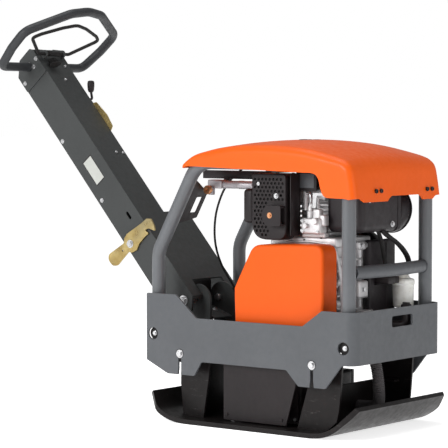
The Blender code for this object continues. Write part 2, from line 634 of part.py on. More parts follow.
# ------------------------------------------------------------ engine
def engine():
    floor = DECK[2][1] + GAP
    case = block("crankcase", (0.005, -0.100, floor), (0.212, 0.070, 0.555), 0.012)
    foot = block("crankcase_foot", (-0.020, -0.095, floor), (0.235, 0.065, floor + 0.014))
    nose = drum("crankcase_nose", (CRANK_X, -0.110, CRANK_Z), "Y", 0.050, 0.030, 24)
    box = block("crankcase_front", (0.200, 0.000, 0.330), (0.238, 0.066, 0.540), 0.008)
    hold = block("filter_arm", (0.230, 0.040, 0.418), (0.310, 0.078, 0.440))
    clasp = block("filter_clasp", (0.285, 0.070, 0.419), (0.3095, 0.1000, 0.439))
    neck = rounded_path([(0.343, 0.084, 0.3385), (0.343, 0.084, 0.300), (0.190, 0.040, 0.300)],
                        0.02, 4)
    prop = block("tank_prop", (0.204, 0.006, 0.535), (0.232, 0.058, 0.5705))
    join(case, foot, nose, box, hold, clasp, prop, tube("filler_neck", neck, 0.011, 2))
    cut(case, drum("crank_bore", (CRANK_X, 0, CRANK_Z), "Y", 0.0158, 0.40, 20))
    finish(case, SILVER, 0.4, 0.9)
    crank = drum("crankshaft", (CRANK_X, -0.030, CRANK_Z), "Y", 0.0125, 0.302, 20)
    journal = drum("crank_journal", (CRANK_X, -0.015, CRANK_Z), "Y", 0.0152, 0.150, 20)
    finish(join(crank, journal), STEEL, 0.3, 1.0)

    jacket = block("cylinder", (0.050, -0.062, 0.555 + GAP), (0.175, 0.058, 0.652), 0.006)
    for i in range(6):
        z = 0.567 + i * 0.014
        rim = block("fin_groove_%d" % i, (0.0, -0.10, z), (0.25, 0.10, z + 0.006))
        core = block("fin_core_%d" % i, (0.066, -0.048, z - 0.01), (0.159, 0.044, z + 0.02))
        cut(rim, core)
        cut(jacket, rim)
    finish(jacket, SILVER, 0.45, 0.9)
    head = block("cylinder_head", (0.044, -0.068, 0.652 + GAP), (0.182, 0.064, 0.700), 0.006)
    finish(head, SILVER, 0.4, 0.9)
    rocker = block("rocker_cover", (0.056, -0.090, 0.700 + GAP), (0.176, 0.050, 0.736), 0.010)
    finish(rocker, BLACK, 0.45)
    tank = block("fuel_tank", (0.187, -0.100, 0.571), (0.312, 0.108, 0.722), 0.018, 3)
    filler = drum("tank_filler", (0.250, -0.010, 0.7265), "Z", 0.024, 0.011, 20)
    finish(join(tank, filler), BLACK, 0.5)

    pump = block("injection_pump", (0.128, -0.140, 0.566), (0.196, -0.104, 0.612), 0.006)
    neck = drum("pump_neck", (0.150, -0.121, 0.625), "Z", 0.011, 0.040, 12)
    flange = block("pump_flange", (0.120, -0.122, 0.5555), (0.200, -0.1005, 0.570))
    finish(join(pump, neck, flange), SILVER, 0.4, 0.9)
    line = rounded_path([(0.150, -0.121, 0.6455), (0.150, -0.121, 0.685),
                         (0.118, -0.100, 0.685), (0.115, -0.0710, 0.685)], 0.018, 5)
    finish(tube("injector_pipe", line, 0.0042, 2), STEEL, 0.3, 1.0)

    fan = turned("fan_housing", [(0.0, 0.060), (0.056, 0.060), (0.106, 0.052), (0.132, 0.030),
                                 (0.136, 0.000), (0.130, 0.000), (0.126, 0.026),
                                 (0.102, 0.046), (0.056, 0.054), (0.0, 0.054)],
                 (CRANK_X, 0.098, CRANK_Z), "Y", 32)
    duct = block("fan_duct", (0.2388, 0.012, 0.316), (0.264, 0.150, 0.545), 0.009)
    cut(duct, block("duct_slot", (0.22, 0.037, 0.415), (0.30, 0.081, 0.443)))
    finish(join(fan, duct), BLACK, 0.5)
    wheel = turned("flywheel", [(0.014, 0.020), (0.020, 0.020), (0.094, 0.014), (0.104, 0.014),
                                (0.104, -0.014), (0.014, -0.014), (0.014, 0.020)],
                   (CRANK_X, 0.100, CRANK_Z), "Y", 28)
    finish(wheel, STEEL, 0.4, 1.0)
    grip = block("recoil_grip", (CRANK_X - 0.045, 0.1655, 0.505), (CRANK_X + 0.045, 0.1855,
                                                                   0.525), 0.006)
    stem = drum("grip_stem", (CRANK_X, 0.1640, 0.515), "Y", 0.005, 0.010, 10)
    finish(join(grip, stem), BLACK, 0.5)

    cleaner = turned("air_cleaner", [(0.0, 0.0485), (0.066, 0.0485), (0.072, 0.042),
                                     (0.072, 0.006), (0.066, 0.0), (0.0, 0.0)],
                     (0.238, 0.1115, 0.632), "Y", 28)
    duct = rounded_path([(0.185, 0.135, 0.676), (0.120, 0.135, 0.676), (0.120, 0.0645, 0.676)],
                        0.02, 4)
    finish(join(cleaner, tube("intake_duct", duct, 0.0125, 2)), BLACK, 0.45)
    lid = turned("air_cleaner_lid", [(0.0, 0.0142), (0.058, 0.0142), (0.070, 0.0085),
                                     (0.073, 0.003), (0.073, 0.0), (0.0, 0.0)],
                 (0.238, 0.160 + GAP, 0.632), "Y", 28)
    finish(lid, BLACK, 0.4)
    cup = turned("fuel_filter", [(0.0, 0.050), (0.016, 0.050), (0.020, 0.040), (0.032, 0.036),
                                 (0.033, 0.020), (0.030, -0.044), (0.0, -0.046)],
                 (0.300, 0.134, 0.391), "Z", 20)
    finish(cup, (0.85, 0.85, 0.80), 0.3)
    cap = drum("oil_filler_cap", (0.343, 0.084, 0.350), "Z", 0.016, 0.022, 12)
    finish(cap, BLACK, 0.45)


def rounded_box(low, high, bends):
    """Side view of a box, its corners rounded in turn from the lower rear one."""
    corners = [(low[0], 0, low[1]), (high[0], 0, low[1]), (high[0], 0, high[1]),
               (low[0], 0, high[1])]
    return [(p.x, p.z) for p in rounded_path(corners, bends, 4, True)]


def exhaust():
    can = prism("muffler", rounded_box((-0.012, 0.560), (0.086, 0.728),
                                       (0.044, 0.026, 0.016, 0.016)), "XZ", -0.160, -0.104)
    pipe = rounded_path([(0.020, -0.134, 0.670), (0.020, -0.060, 0.670), (0.0360, -0.044, 0.675)],
                        0.02, 4)
    finish(join(can, tube("exhaust_pipe", pipe, 0.011, 2)), BLACK, 0.6, 0.4)
    guard = prism("muffler_guard", rounded_box((-0.024, 0.547), (0.098, 0.738),
                                               (0.052, 0.032, 0.014, 0.014)),
                  "XZ", -0.172, -0.096)
    cut(guard, prism("guard_hollow", rounded_box((-0.021, 0.550), (0.095, 0.735),
                                                 (0.049, 0.029, 0.011, 0.011)),
                     "XZ", -0.169, -0.050),
        block("deck_notch", (0.001, -0.1205, 0.540), (0.120, -0.050, 0.5575)))
    slots = []
    for row in range(8):
        for column in range(4):
            x = -0.006 + column * 0.026 + (row % 2) * 0.013
            z = 0.566 + row * 0.021
            corner = Vector((x - 0.028, z - 0.599))
            if z < 0.655 and x > 0.034 or max(corner) < 0 and corner.length > 0.040:
                continue
            slots.append(drum("vent_%d_%d" % (row, column), (x, -0.17, z), "Y", 0.0056, 0.03,
                              6))
    cut(guard, *slots)
    shield = block("heat_shield", (-0.068, -0.158, 0.592), (-0.030, -0.106, 0.692), 0.010)
    web = block("shield_web", (-0.050, -0.124, 0.640), (-0.0220, -0.120, 0.680))
    plate = block("side_plate", (0.0965, -0.124, 0.5753), (0.112, -0.120, 0.698))
    finish(join(guard, shield, web, plate), BLACK, 0.5)
    outlet = block("exhaust_outlet", (0.040, -0.198, 0.589), (0.098, -0.1723, 0.647), 0.005)
    cut(outlet, block("outlet_mouth", (0.046, -0.194, 0.595), (0.12, -0.1765, 0.641)))
    finish(outlet, BLACK, 0.5)


def control_line():
    """Governor control: anchor block, rod tube and the sheathed cable down to the deck."""
    anchor = block("control_block", (-0.236, -0.112, 0.688), (-0.182, -0.076, 0.714), 0.004)
    cap = drum("block_fitting", (-0.218, -0.112, 0.680), "Z", 0.010, 0.022, 12)
    rod = drum("control_rod_tube", (-0.120, -0.094, 0.700), "X", 0.0095, 0.130, 14)
    nut = drum("rod_nut", (-0.066, -0.094, 0.700), "X", 0.014, 0.016, 6)
    finish(join(anchor, cap, rod, nut), SILVER, 0.4, 0.9)
    route = [(-0.161, -0.040, 0.744), (-0.200, -0.038, 0.716), (-0.240, -0.033, 0.670),
             (-0.274, -0.022, 0.600), (-0.288, -0.006, 0.520), (-0.284, 0.024, 0.445),
             (-0.264, 0.074, 0.360), (-0.260, 0.088, 0.300), (-0.262, 0.090, 0.267)]
    finish(tube("control_cable", smooth(route, 34), 0.003, 2), RUBBER, 0.6)


def smooth(points, count):
    """Points evenly spaced in parameter along a curve through the given points."""
    knots = [Vector(p) for p in points]
    knots = [2 * knots[0] - knots[1]] + knots + [2 * knots[-1] - knots[-2]]
    spans = len(knots) - 3
    path = []
    for i in range(count + 1):
        s = i / count * spans
        k = min(int(s), spans - 1)
        t = s - k
        a, b, c, d = knots[k:k + 4]
        path.append(0.5 * ((2 * b) + (c - a) * t + (2 * a - 5 * b + 4 * c - d) * t * t
                           + (3 * b - a - 3 * c + d) * t ** 3))
    return path


def hoses():
    """Flexible conduit for the travel control, from the deck down to the exciter."""
    route = [(0.264, 0.012, 0.232), (0.288, 0.003, 0.200), (0.300, 0.001, 0.160),
             (0.301, 0.006, 0.115), (0.284, 0.028, 0.074), (0.238, 0.054, 0.057),
             (0.180, 0.060, 0.056), (0.1255, 0.060, 0.056)]
    finish(tube("travel_hose", smooth(route, 30), 0.0175, 2), RUBBER, 0.6)


# ------------------------------------------------------------ pole and controls
def pole_frame():
    frame = bpy.data.objects.new("pole_pivot", None)
    PARTS.objects.link(frame)
    frame.location = PIVOT
    frame.rotation_euler = (0.0, -POLE_ANGLE, 0.0)
    return frame


def pole(frame):
    low, high = POLE_N
    wall = 0.005
    plan = [(-YOKE_HALF, -0.042), (YOKE_HALF, -0.042), (YOKE_HALF, YOKE_TOP),
            (POLE_Y[1], YOKE_TOP), (POLE_Y[1], POLE_END), (POLE_Y[0], POLE_END)]
    beam = prism("pole", plan, "YZ", low, high)
    side = [(low - 0.01, -0.015), (low + 0.020, -0.040), (high - 0.030, -0.040),
            (high + 0.01, 0.0), (high + 0.01, 1.1), (low - 0.01, 1.1)]
    common(beam, prism("pole_side", side, "XZ", -0.3, 0.3))
    cut(beam, block("yoke_hollow", (low - 0.02, 0.007 - YOKE_HALF, -0.1),
                    (high - 0.007, YOKE_HALF - 0.007, YOKE_TOP - 0.008)),
        block("yoke_notch", (high - 0.02, -0.070, -0.1), (high + 0.02, 0.075, 0.050)),
        block("pole_hollow", (low + wall, POLE_Y[0] + wall, 0.32),
              (high - wall, POLE_Y[1] - wall, 1.0)))
    middle = sum(POLE_Y) / 2
    cut(beam, drum("yoke_bore", (0, 0, 0), "Y", 0.0068, 0.40, 16),
        drum("loop_port", (LOOP_BASE_N, middle, LOOP_U), "Y", LOOP_RADIUS + 0.0006, 0.4, 20))
    finish(beam, DARK, 0.5, 0.3, frame)

    cheeks = []
    outline = [(low, 0.890), (high, 0.890), (high, 0.976), (high - 0.008, 0.990),
               (low + 0.040, 0.990), (low, 0.952)]
    crown = prism("pole_head", outline, "XZ", POLE_Y[0] - 0.0033, POLE_Y[0] - GAP)
    cheeks.append(prism("head_cheek", outline, "XZ", POLE_Y[1] + GAP, POLE_Y[1] + 0.0033))
    ear = [(high - 0.030, 0.956), (high - 0.030, 0.986), (high - 0.004, 0.986)]
    ear += arc((LEVER_AXIS_N, LOOP_U), 0.0125, 60, -120, 8)
    ear += [(high + 0.002, 0.938), (high + 0.002, 0.956)]
    for y in (-0.100, -0.018):
        cheeks.append(prism("lever_ear", ear, "XZ", y, y + 0.004))
    cheeks.append(block("head_cap", (low + 0.042, POLE_Y[0] - 0.002, 0.984),
                        (high - 0.009, POLE_Y[1] + 0.002, 0.9885)))
    join(crown, *cheeks)
    for n, r in ((LEVER_AXIS_N, LEVER_RADIUS + 0.0006), (LOOP_BASE_N, LOOP_RADIUS + 0.0006)):
        cut(crown, drum("head_port_%d" % (n * 1000), (n, middle, LOOP_U), "Y", r, 0.4, 20))
    finish(crown, DARK, 0.5, 0.3, frame)
    return middle


def handles(frame, middle):
    loop = [(LOOP_BASE_N, 0.188), (0.074, 0.208), (0.150, 0.211)]
    right = [(n, middle + y, LOOP_U) for n, y in loop]
    left = [(n, middle - y, LOOP_U) for n, y in reversed(loop)]
    top = [(0.237, middle + 0.070, LOOP_U), (0.250, middle, LOOP_U),
           (0.237, middle - 0.070, LOOP_U)]
    ring = right + top + left
    path = rounded_path(ring, 0.030, 3, closed=True)
    finish(tube("handle_loop", path, LOOP_RADIUS, 3, closed=True), TUBE_GREY, 0.35, 0.5, frame)

    n0 = LEVER_AXIS_N
    arm = [(n0, 0.0), (n0, 0.070), (0.122, 0.156), (0.141, 0.128), (0.172, 0.055)]
    upper = [(n, middle + y, LOOP_U) for n, y in arm[1:]]
    lower = [(n, middle - y, LOOP_U) for n, y in reversed(arm[1:])]
    path = rounded_path([(n0, middle, LOOP_U)] + upper + [(0.187, middle, LOOP_U)] + lower,
                        0.016, 4, closed=True)
    bail = tube("travel_lever", path[1:] + path[:1], LEVER_RADIUS, 2, closed=True)
    lug = drum("lever_hub", (n0, middle, LOOP_U), "Y", 0.010, 0.050, 14)
    finish(join(bail, lug), RUBBER, 0.5, 0.0, frame)
    boot = turned("lever_boot", [(0.0, 0.030), (0.011, 0.030), (0.016, 0.020), (0.012, 0.014),
                                 (0.018, 0.006), (0.014, 0.0), (0.0, 0.0)],
                  (0, 0, 0), "Z", 16)
    boot.location = (POLE_N[1] + 0.0155, middle - 0.024, 0.903)
    boot.scale = (0.8, 1.3, 0.8)
    finish(boot, RUBBER, 0.8, 0.0, frame)


def throttle(frame):
    face = POLE_Y[1] + GAP
    outline = [(0.030, 0.640), (0.050, 0.648), (0.056, 0.690), (0.048, 0.750), (0.020, 0.765),
               (0.000, 0.750), (0.000, 0.660)]
    plate = prism("throttle_bracket", outline, "XZ", face, face + 0.003)
    finish(plate, ZINC, 0.4, 0.8, frame)
    lever = prism("throttle_lever", [(0.006, 0.720), (0.030, 0.720), (0.034, 0.760),
                                     (0.030, 0.790), (0.018, 0.790), (0.014, 0.760)], "XZ",
                  face + 0.0033, face + 0.0063)
    stem = tube("throttle_stem", rounded_path([(0.024, face + 0.005, 0.782),
                                               (0.024, face + 0.026, 0.782),
                                               (0.036, face + 0.028, 0.808)], 0.01, 3), 0.004, 2)
    knob = drum("throttle_knob", (0.045, face + 0.028, 0.818), "Z", 0.0115, 0.036, 12)
    knob.rotation_euler = (0.0, POLE_ANGLE, 0.0)
    finish(join(lever, stem, knob), BLACK, 0.45, 0.0, frame)


def latch(frame):
    """Transport hook on the pole's right face, with its grip end below the pole."""
    face = POLE_Y[0] - GAP
    pin = (-0.048, 0.258)
    outline = [(-0.142, 0.286), (-0.146, 0.280), (-0.142, 0.248), (-0.136, 0.240),
               (-0.070, 0.244), (-0.060, 0.233), (-0.040, 0.228), (-0.020, 0.236),
               (0.012, 0.238), (0.030, 0.236), (0.024, 0.254), (0.040, 0.248),
               (0.054, 0.226), (0.062, 0.240), (0.066, 0.264), (0.054, 0.276),
               (0.030, 0.278), (-0.040, 0.290), (-0.056, 0.286), (-0.068, 0.276)]
    hook = prism("latch_hook", outline, "XZ", face - 0.0062, face)
    cut(hook, drum("hook_bore", (pin[0], face, pin[1]), "Y", 0.0055, 0.05, 14))
    finish(hook, ZINC, 0.4, 0.8, frame)
    screw = bolt("latch_bolt", (pin[0], face - 0.0065, pin[1]), "Y", 0.010, 0.005, 0.0063,
                 0.007)
    finish(screw, STEEL, 0.3, 1.0, frame)


def main():
    base_plate()
    exciter()
    buffers()
    lower_belt_cover()
    belt_drive()
    belt_guard()
    guard_frame()
    cage()
    catch_plate()
    deck()
    pivot_bracket()
    hood()
    engine()
    exhaust()
    control_line()
    hoses()
    frame = pole_frame()
    middle = pole(frame)
    handles(frame, middle)
    throttle(frame)
    latch(frame)


main()
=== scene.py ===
"""Looks of a reversible plate compactor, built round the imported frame.

Frame: metres, +X to the machine's front, +Y to its left, +Z up, origin on the ground.
"""
import math
import random

import bmesh
import bpy
from mathutils import Matrix, Vector


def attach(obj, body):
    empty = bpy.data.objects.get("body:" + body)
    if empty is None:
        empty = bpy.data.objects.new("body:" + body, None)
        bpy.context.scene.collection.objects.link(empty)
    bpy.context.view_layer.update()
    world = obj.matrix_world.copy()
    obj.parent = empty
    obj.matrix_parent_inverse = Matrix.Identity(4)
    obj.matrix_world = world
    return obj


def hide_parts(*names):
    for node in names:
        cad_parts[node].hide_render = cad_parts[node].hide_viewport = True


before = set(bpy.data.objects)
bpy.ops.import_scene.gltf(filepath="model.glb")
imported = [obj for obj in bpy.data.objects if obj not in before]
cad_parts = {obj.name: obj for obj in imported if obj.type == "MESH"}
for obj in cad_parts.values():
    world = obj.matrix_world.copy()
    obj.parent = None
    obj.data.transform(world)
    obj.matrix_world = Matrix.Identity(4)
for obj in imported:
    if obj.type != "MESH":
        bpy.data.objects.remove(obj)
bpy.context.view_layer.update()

# ------------------------------------------------------------ camera, floor and light
camera = bpy.data.objects.new("camera", bpy.data.cameras.new("camera"))
bpy.context.scene.collection.objects.link(camera)
camera.data.sensor_width = 36.0
camera.data.lens = 168.75
camera.location = (3.6439, -5.0105, 0.9041)
camera.rotation_euler = (math.radians(90 - 2.955), 0.0, math.radians(37.917))
bpy.context.scene.camera = camera
bpy.context.scene.view_settings.view_transform = "Standard"


def area_light(name, place, target, size, power):
    lamp = bpy.data.objects.new(name, bpy.data.lights.new(name, "AREA"))
    lamp.data.shape = "DISK"
    lamp.data.size = size
    lamp.data.energy = power
    lamp.location = place
    aim = Vector(target) - Vector(place)
    lamp.rotation_euler = aim.to_track_quat("-Z", "Y").to_euler()
    bpy.context.scene.collection.objects.link(lamp)


area_light("key", (-1.6, -5.2, 2.6), (0.0, 0.0, 0.5), 2.6, 182.0)
area_light("top", (-0.4, -0.6, 4.6), (0.0, 0.0, 0.4), 3.0, 82.0)
area_light("front_fill", (4.6, -0.6, 1.6), (0.0, 0.0, 0.5), 2.4, 26.0)

world = bpy.data.worlds.new("studio")
bpy.context.scene.world = world
world.use_nodes = True
tree = world.node_tree
ray = tree.nodes.new("ShaderNodeLightPath")
strength = tree.nodes.new("ShaderNodeMapRange")
strength.inputs["To Min"].default_value = 0.35
strength.inputs["To Max"].default_value = 1.0
tree.links.new(ray.outputs["Is Camera Ray"], strength.inputs["Value"])
tree.nodes["Background"].inputs["Color"].default_value = (1.0, 1.0, 1.0, 1.0)
tree.links.new(strength.outputs["Result"], tree.nodes["Background"].inputs["Strength"])


# ------------------------------------------------------------ materials
class Nodes:
    """A short way to build one material's node tree."""

    def __init__(self, name):
        self.material = bpy.data.materials.new(name)
        self.material.use_nodes = True
        self.tree = self.material.node_tree
        self.shader = self.tree.nodes["Principled BSDF"]
        self.place = self.tree.nodes.new("ShaderNodeTexCoord").outputs["Object"]

    def link(self, source, target):
        self.tree.links.new(source, target)
        return target

    def noise(self, scale, detail=3.0, rough=0.55, stretch=None):
        node = self.tree.nodes.new("ShaderNodeTexNoise")
        node.inputs["Scale"].default_value = scale
        node.inputs["Detail"].default_value = detail
        node.inputs["Roughness"].default_value = rough
        source = self.place
        if stretch:
            mapping = self.tree.nodes.new("ShaderNodeMapping")
            mapping.inputs["Scale"].default_value = stretch
            self.link(source, mapping.inputs["Vector"])
            source = mapping.outputs["Vector"]
        self.link(source, node.inputs["Vector"])
        return node.outputs["Fac"]

    def spread(self, source, low, high, start=0.35, end=0.65):
        node = self.tree.nodes.new("ShaderNodeMapRange")
        for key, value in zip(("From Min", "From Max", "To Min", "To Max"), (start, end, low, high)):
            node.inputs[key].default_value = value
        self.link(source, node.inputs["Value"])
        return node.outputs["Result"]

    def blend(self, factor, first, second):
        node = self.tree.nodes.new("ShaderNodeMix")
        node.data_type = "RGBA"
        self.link(factor, node.inputs["Factor"])
        for key, value in (("A", first), ("B", second)):
            socket = [s for s in node.inputs if s.name == key and s.type == "RGBA"][0]
            if isinstance(value, tuple):
                socket.default_value = (*value, 1.0)
            else:
                self.link(value, socket)
        return [s for s in node.outputs if s.type == "RGBA"][0]

    def bump(self, *layers):
        """Bump layers, each (height, strength, distance), chained."""
        last = None
        for height, strength, distance in layers:
            node = self.tree.nodes.new("ShaderNodeBump")
            node.inputs["Strength"].default_value = strength
            node.inputs["Distance"].default_value = distance
            self.link(height, node.inputs["Height"])
            if last is not None:
                self.link(last, node.inputs["Normal"])
            last = node.outputs["Normal"]
        self.link(last, self.shader.inputs["Normal"])


def shade(colour, factor):
    return tuple(min(1.0, c * factor) for c in colour)


def finish_of(name, slot, colour, rough, metallic=0.0, vary=0.10, grain=700.0, depth=0.08, specular=0.5,
              coat=0.0, dust=None, scuffs=0.0, scuff_colour=None):
    """A painted, moulded or cast surface: drifting tone, fine grain, dust and scuffs."""
    made = Nodes(name)
    drift = made.noise(5.0, 4.0)
    fine = made.noise(grain, 2.0)
    middle = made.noise(60.0, 4.0, 0.6)
    tone = made.blend(made.spread(drift, 0.0, 1.0), shade(colour, 1 - vary), shade(colour, 1 + vary))
    tone = made.blend(made.spread(middle, 0.0, 0.35), tone, shade(colour, 1 - 1.6 * vary))
    sheen = made.spread(middle, rough - 0.06, min(rough + 0.08, 1.0))
    if dust:
        patch = made.noise(14.0, 6.0, 0.7)
        tone = made.blend(made.spread(patch, 0.0, 0.45, 0.50, 0.78), tone, dust)
    if scuffs:
        marks = made.noise(26.0, 8.0, 0.75, (1.0, 9.0, 5.0))
        mask = made.spread(marks, 0.0, scuffs, 0.60, 0.68)
        tone = made.blend(mask, tone, scuff_colour or shade(colour, 3.0))
    made.link(tone, made.shader.inputs["Base Color"])
    made.link(sheen, made.shader.inputs["Roughness"])
    made.shader.inputs["Metallic"].default_value = metallic
    made.shader.inputs["Specular IOR Level"].default_value = specular
    made.shader.inputs["Coat Weight"].default_value = coat
    made.shader.inputs["Coat Roughness"].default_value = 0.12
    made.bump((middle, depth * 0.5, 0.002), (fine, depth, 0.0006))
    return made.material, slot


ORANGE_SHELL = finish_of(
    "orange_shell", "orange_shell", (0.80, 0.106, 0.004), 0.40, vary=0.03, grain=520.0, depth=0.05,
    specular=0.22, coat=0.05)
ORANGE = finish_of(
    "orange_paint", "orange_paint", (0.78, 0.098, 0.004), 0.46, vary=0.03, grain=800.0, depth=0.06,
    specular=0.2)
GREY = finish_of("grey_powder_coat", "grey_paint", (0.090, 0.095, 0.103), 0.50, vary=0.06, grain=1100.0,
                 depth=0.16, specular=0.35)
TUBE = finish_of("tube_powder_coat", "tube_paint", (0.112, 0.118, 0.127), 0.40, vary=0.07, grain=1100.0,
                 depth=0.14, specular=0.5)
DARK = finish_of("dark_powder_coat", "dark_paint", (0.043, 0.046, 0.046), 0.44, vary=0.08, grain=1100.0,
                 depth=0.16, specular=0.28)
BLACK = finish_of("black_paint", "black_paint", (0.017, 0.013, 0.014), 0.42, vary=0.15, grain=900.0,
                  depth=0.12, specular=0.26)
PLASTIC = finish_of(
    "black_plastic", "black_plastic", (0.020, 0.016, 0.018), 0.46, vary=0.12, grain=1500.0, depth=0.18,
    specular=0.3)
IRON = finish_of("plate_iron", "cast_iron", (0.010, 0.008, 0.008), 0.34, metallic=0.0, vary=0.20,
                 grain=420.0, depth=0.16, specular=0.20, scuffs=0.30, scuff_colour=(0.16, 0.15, 0.145))
CAST = finish_of("cast_aluminium", "cast_aluminium", (0.70, 0.69, 0.70), 0.46, metallic=0.65, vary=0.12,
                 grain=650.0, depth=0.45, dust=(0.25, 0.23, 0.22))
STEEL = finish_of("bare_steel", "bare_steel", (0.62, 0.62, 0.63), 0.30, metallic=0.95, vary=0.10,
                  grain=900.0, depth=0.10)
RUBBER = finish_of(
    "rubber", "rubber", (0.016, 0.015, 0.015), 0.70, vary=0.15, grain=1300.0, depth=0.25, specular=0.25)
ALLOY = finish_of("drawn_alloy", "cast_aluminium", (0.42, 0.40, 0.42), 0.42, metallic=0.5, vary=0.12,
                  grain=700.0, depth=0.12)
CONDUIT = finish_of(
    "conduit", "rubber", (0.085, 0.078, 0.080), 0.50, vary=0.12, grain=1300.0, depth=0.20, specular=0.3)
BRASS = finish_of("copper_fittings", "bare_steel", (0.62, 0.30, 0.15), 0.36, metallic=0.85, vary=0.20,
                  grain=700.0, depth=0.15)
HANDLE = finish_of(
    "handle_paint", "tube_paint", (0.030, 0.032, 0.035), 0.46, vary=0.08, grain=1000.0, depth=0.06,
    specular=0.28)
PALE = finish_of("pale_patch", "pale_plastic", (0.46, 0.47, 0.44), 0.45, vary=0.06)


def yellow_zinc():
    made = Nodes("yellow_zinc")
    drift = made.noise(30.0, 5.0, 0.6)
    warm = made.noise(11.0, 3.0)
    tone = made.blend(made.spread(drift, 0.0, 1.0), (0.33, 0.23, 0.075), (0.47, 0.36, 0.15))
    tone = made.blend(made.spread(warm, 0.0, 0.6, 0.45, 0.7), tone, (0.34, 0.31, 0.20))
    made.link(tone, made.shader.inputs["Base Color"])
    made.link(made.spread(drift, 0.26, 0.46), made.shader.inputs["Roughness"])
    made.shader.inputs["Metallic"].default_value = 0.85
    made.bump((made.noise(600.0, 2.0), 0.12, 0.0006))
    return made.material, "yellow_zinc"


def clear_cup():
    made = Nodes("filter_cup")
    drift = made.noise(40.0, 4.0)
    tone = made.blend(made.spread(drift, 0.0, 1.0), (0.72, 0.71, 0.66), (0.86, 0.86, 0.83))
    made.link(tone, made.shader.inputs["Base Color"])
    made.link(made.spread(drift, 0.22, 0.36), made.shader.inputs["Roughness"])
    made.shader.inputs["Subsurface Weight"].default_value = 0.35
    made.shader.inputs["Subsurface Radius"].default_value = (0.01, 0.01, 0.009)
    made.bump((made.noise(500.0), 0.06, 0.0006))
    return made.material, "pale_plastic"


ZINC = yellow_zinc()
CLEAR = clear_cup()


# ------------------------------------------------------------ mesh helpers
AXES = {"X": Matrix.Rotation(math.pi / 2, 4, "Y"), "Y": Matrix.Rotation(-math.pi / 2, 4, "X"),
        "Z": Matrix.Identity(4)}
PLANES = {"XZ": Matrix.Rotation(math.pi / 2, 4, "X"), "XY": Matrix.Identity(4),
          "YZ": Matrix(((0, 0, 1, 0), (1, 0, 0, 0), (0, 1, 0, 0), (0, 0, 0, 1)))}


def link(name, mesh):
    obj = bpy.data.objects.new(name, mesh)
    bpy.context.scene.collection.objects.link(obj)
    return obj


def from_bm(name, bm):
    mesh = bpy.data.meshes.new(name)
    bmesh.ops.recalc_face_normals(bm, faces=bm.faces)
    bm.to_mesh(mesh)
    bm.free()
    return link(name, mesh)


def bake(obj):
    """Apply an object's modifiers to its mesh and drop the tools that they used."""
    tools = [m.object for m in obj.modifiers if m.type == "BOOLEAN"]
    bpy.context.view_layer.update()
    graph = bpy.context.evaluated_depsgraph_get()
    mesh = bpy.data.meshes.new_from_object(obj.evaluated_get(graph))
    obj.modifiers.clear()
    obj.data = mesh
    for tool in tools:
        bpy.data.objects.remove(tool, do_unlink=True)
    return obj


def combine(obj, others, operation):
    for other in others:
        step = obj.modifiers.new("solid", "BOOLEAN")
        step.operation = operation
        step.solver = "EXACT"
        step.object = other
    return bake(obj)


def cut(obj, *others):
    return combine(obj, others, "DIFFERENCE")


def join(obj, *others):
    return combine(obj, others, "UNION")


def common(obj, *others):
    return combine(obj, others, "INTERSECT")


def soften(obj, width, segments=2, angle=30.0):
    """Round an object's edges and keep its flat faces flat in the light."""
    edge = obj.modifiers.new("edges", "BEVEL")
    edge.width = width
    edge.segments = segments
    edge.limit_method = "ANGLE"
    edge.angle_limit = math.radians(angle)
    edge.use_clamp_overlap = True
    obj.data.shade_smooth()
    obj.modifiers.new("flats", "WEIGHTED_NORMAL").keep_sharp = True
    return bake(obj)


def smooth(obj, angle=40.0):
    obj.data.shade_smooth()
    obj.data.set_sharp_from_angle(angle=math.radians(angle))
    return obj


def move(obj, matrix):
    obj.data.transform(matrix)
    return obj


def block(name, low, high, bevel=0.0, segments=3):
    bm = bmesh.new()
    low, high = Vector(low), Vector(high)
    size = Matrix.Diagonal((*(high - low), 1.0))
    bmesh.ops.create_cube(bm, size=1.0, matrix=Matrix.Translation((low + high) / 2) @ size)
    if bevel:
        bmesh.ops.bevel(bm, geom=bm.edges[:], offset=bevel, segments=segments, profile=0.5, affect="EDGES")
    return smooth(from_bm(name, bm))


def drum(name, centre, axis, radius, depth, sides=40, bevel=0.0):
    bm = bmesh.new()
    bmesh.ops.create_cone(bm, cap_ends=True, segments=sides, radius1=radius, radius2=radius, depth=depth)
    if bevel:
        rims = [e for e in bm.edges if abs(e.verts[0].co.z - e.verts[1].co.z) < 1e-6]
        bmesh.ops.bevel(bm, geom=rims, offset=bevel, segments=2, profile=0.5, affect="EDGES")
    bm.transform(Matrix.Translation(centre) @ AXES[axis])
    return smooth(from_bm(name, bm))


def turned(name, profile, centre, axis, steps=48, angle=30.0):
    """A solid turned about an axis from (radius, height) points, closed at the axis."""
    bm = bmesh.new()
    if profile[0] != profile[-1]:
        ends = [[(0.0, profile[k][1])] if profile[k][0] > 0 else [] for k in (0, -1)]
        profile = ends[0] + profile + ends[1]
    rings = []
    for radius, height in profile:
        if radius < 1e-6:
            rings.append([bm.verts.new((0, 0, height))])
        else:
            rings.append([bm.verts.new((radius * math.cos(math.tau * k / steps),
                                        radius * math.sin(math.tau * k / steps), height))
                          for k in range(steps)])
    for first, second in zip(rings, rings[1:]):
        for k in range(steps):
            n = (k + 1) % steps
            corners = [first[k % len(first)], first[n % len(first)], second[n % len(second)],
                       second[k % len(second)]]
            unique = list(dict.fromkeys(corners))
            if len(unique) > 2:
                bm.faces.new(unique)
    bm.transform(Matrix.Translation(centre) @ AXES[axis])
    return smooth(from_bm(name, bm), angle)


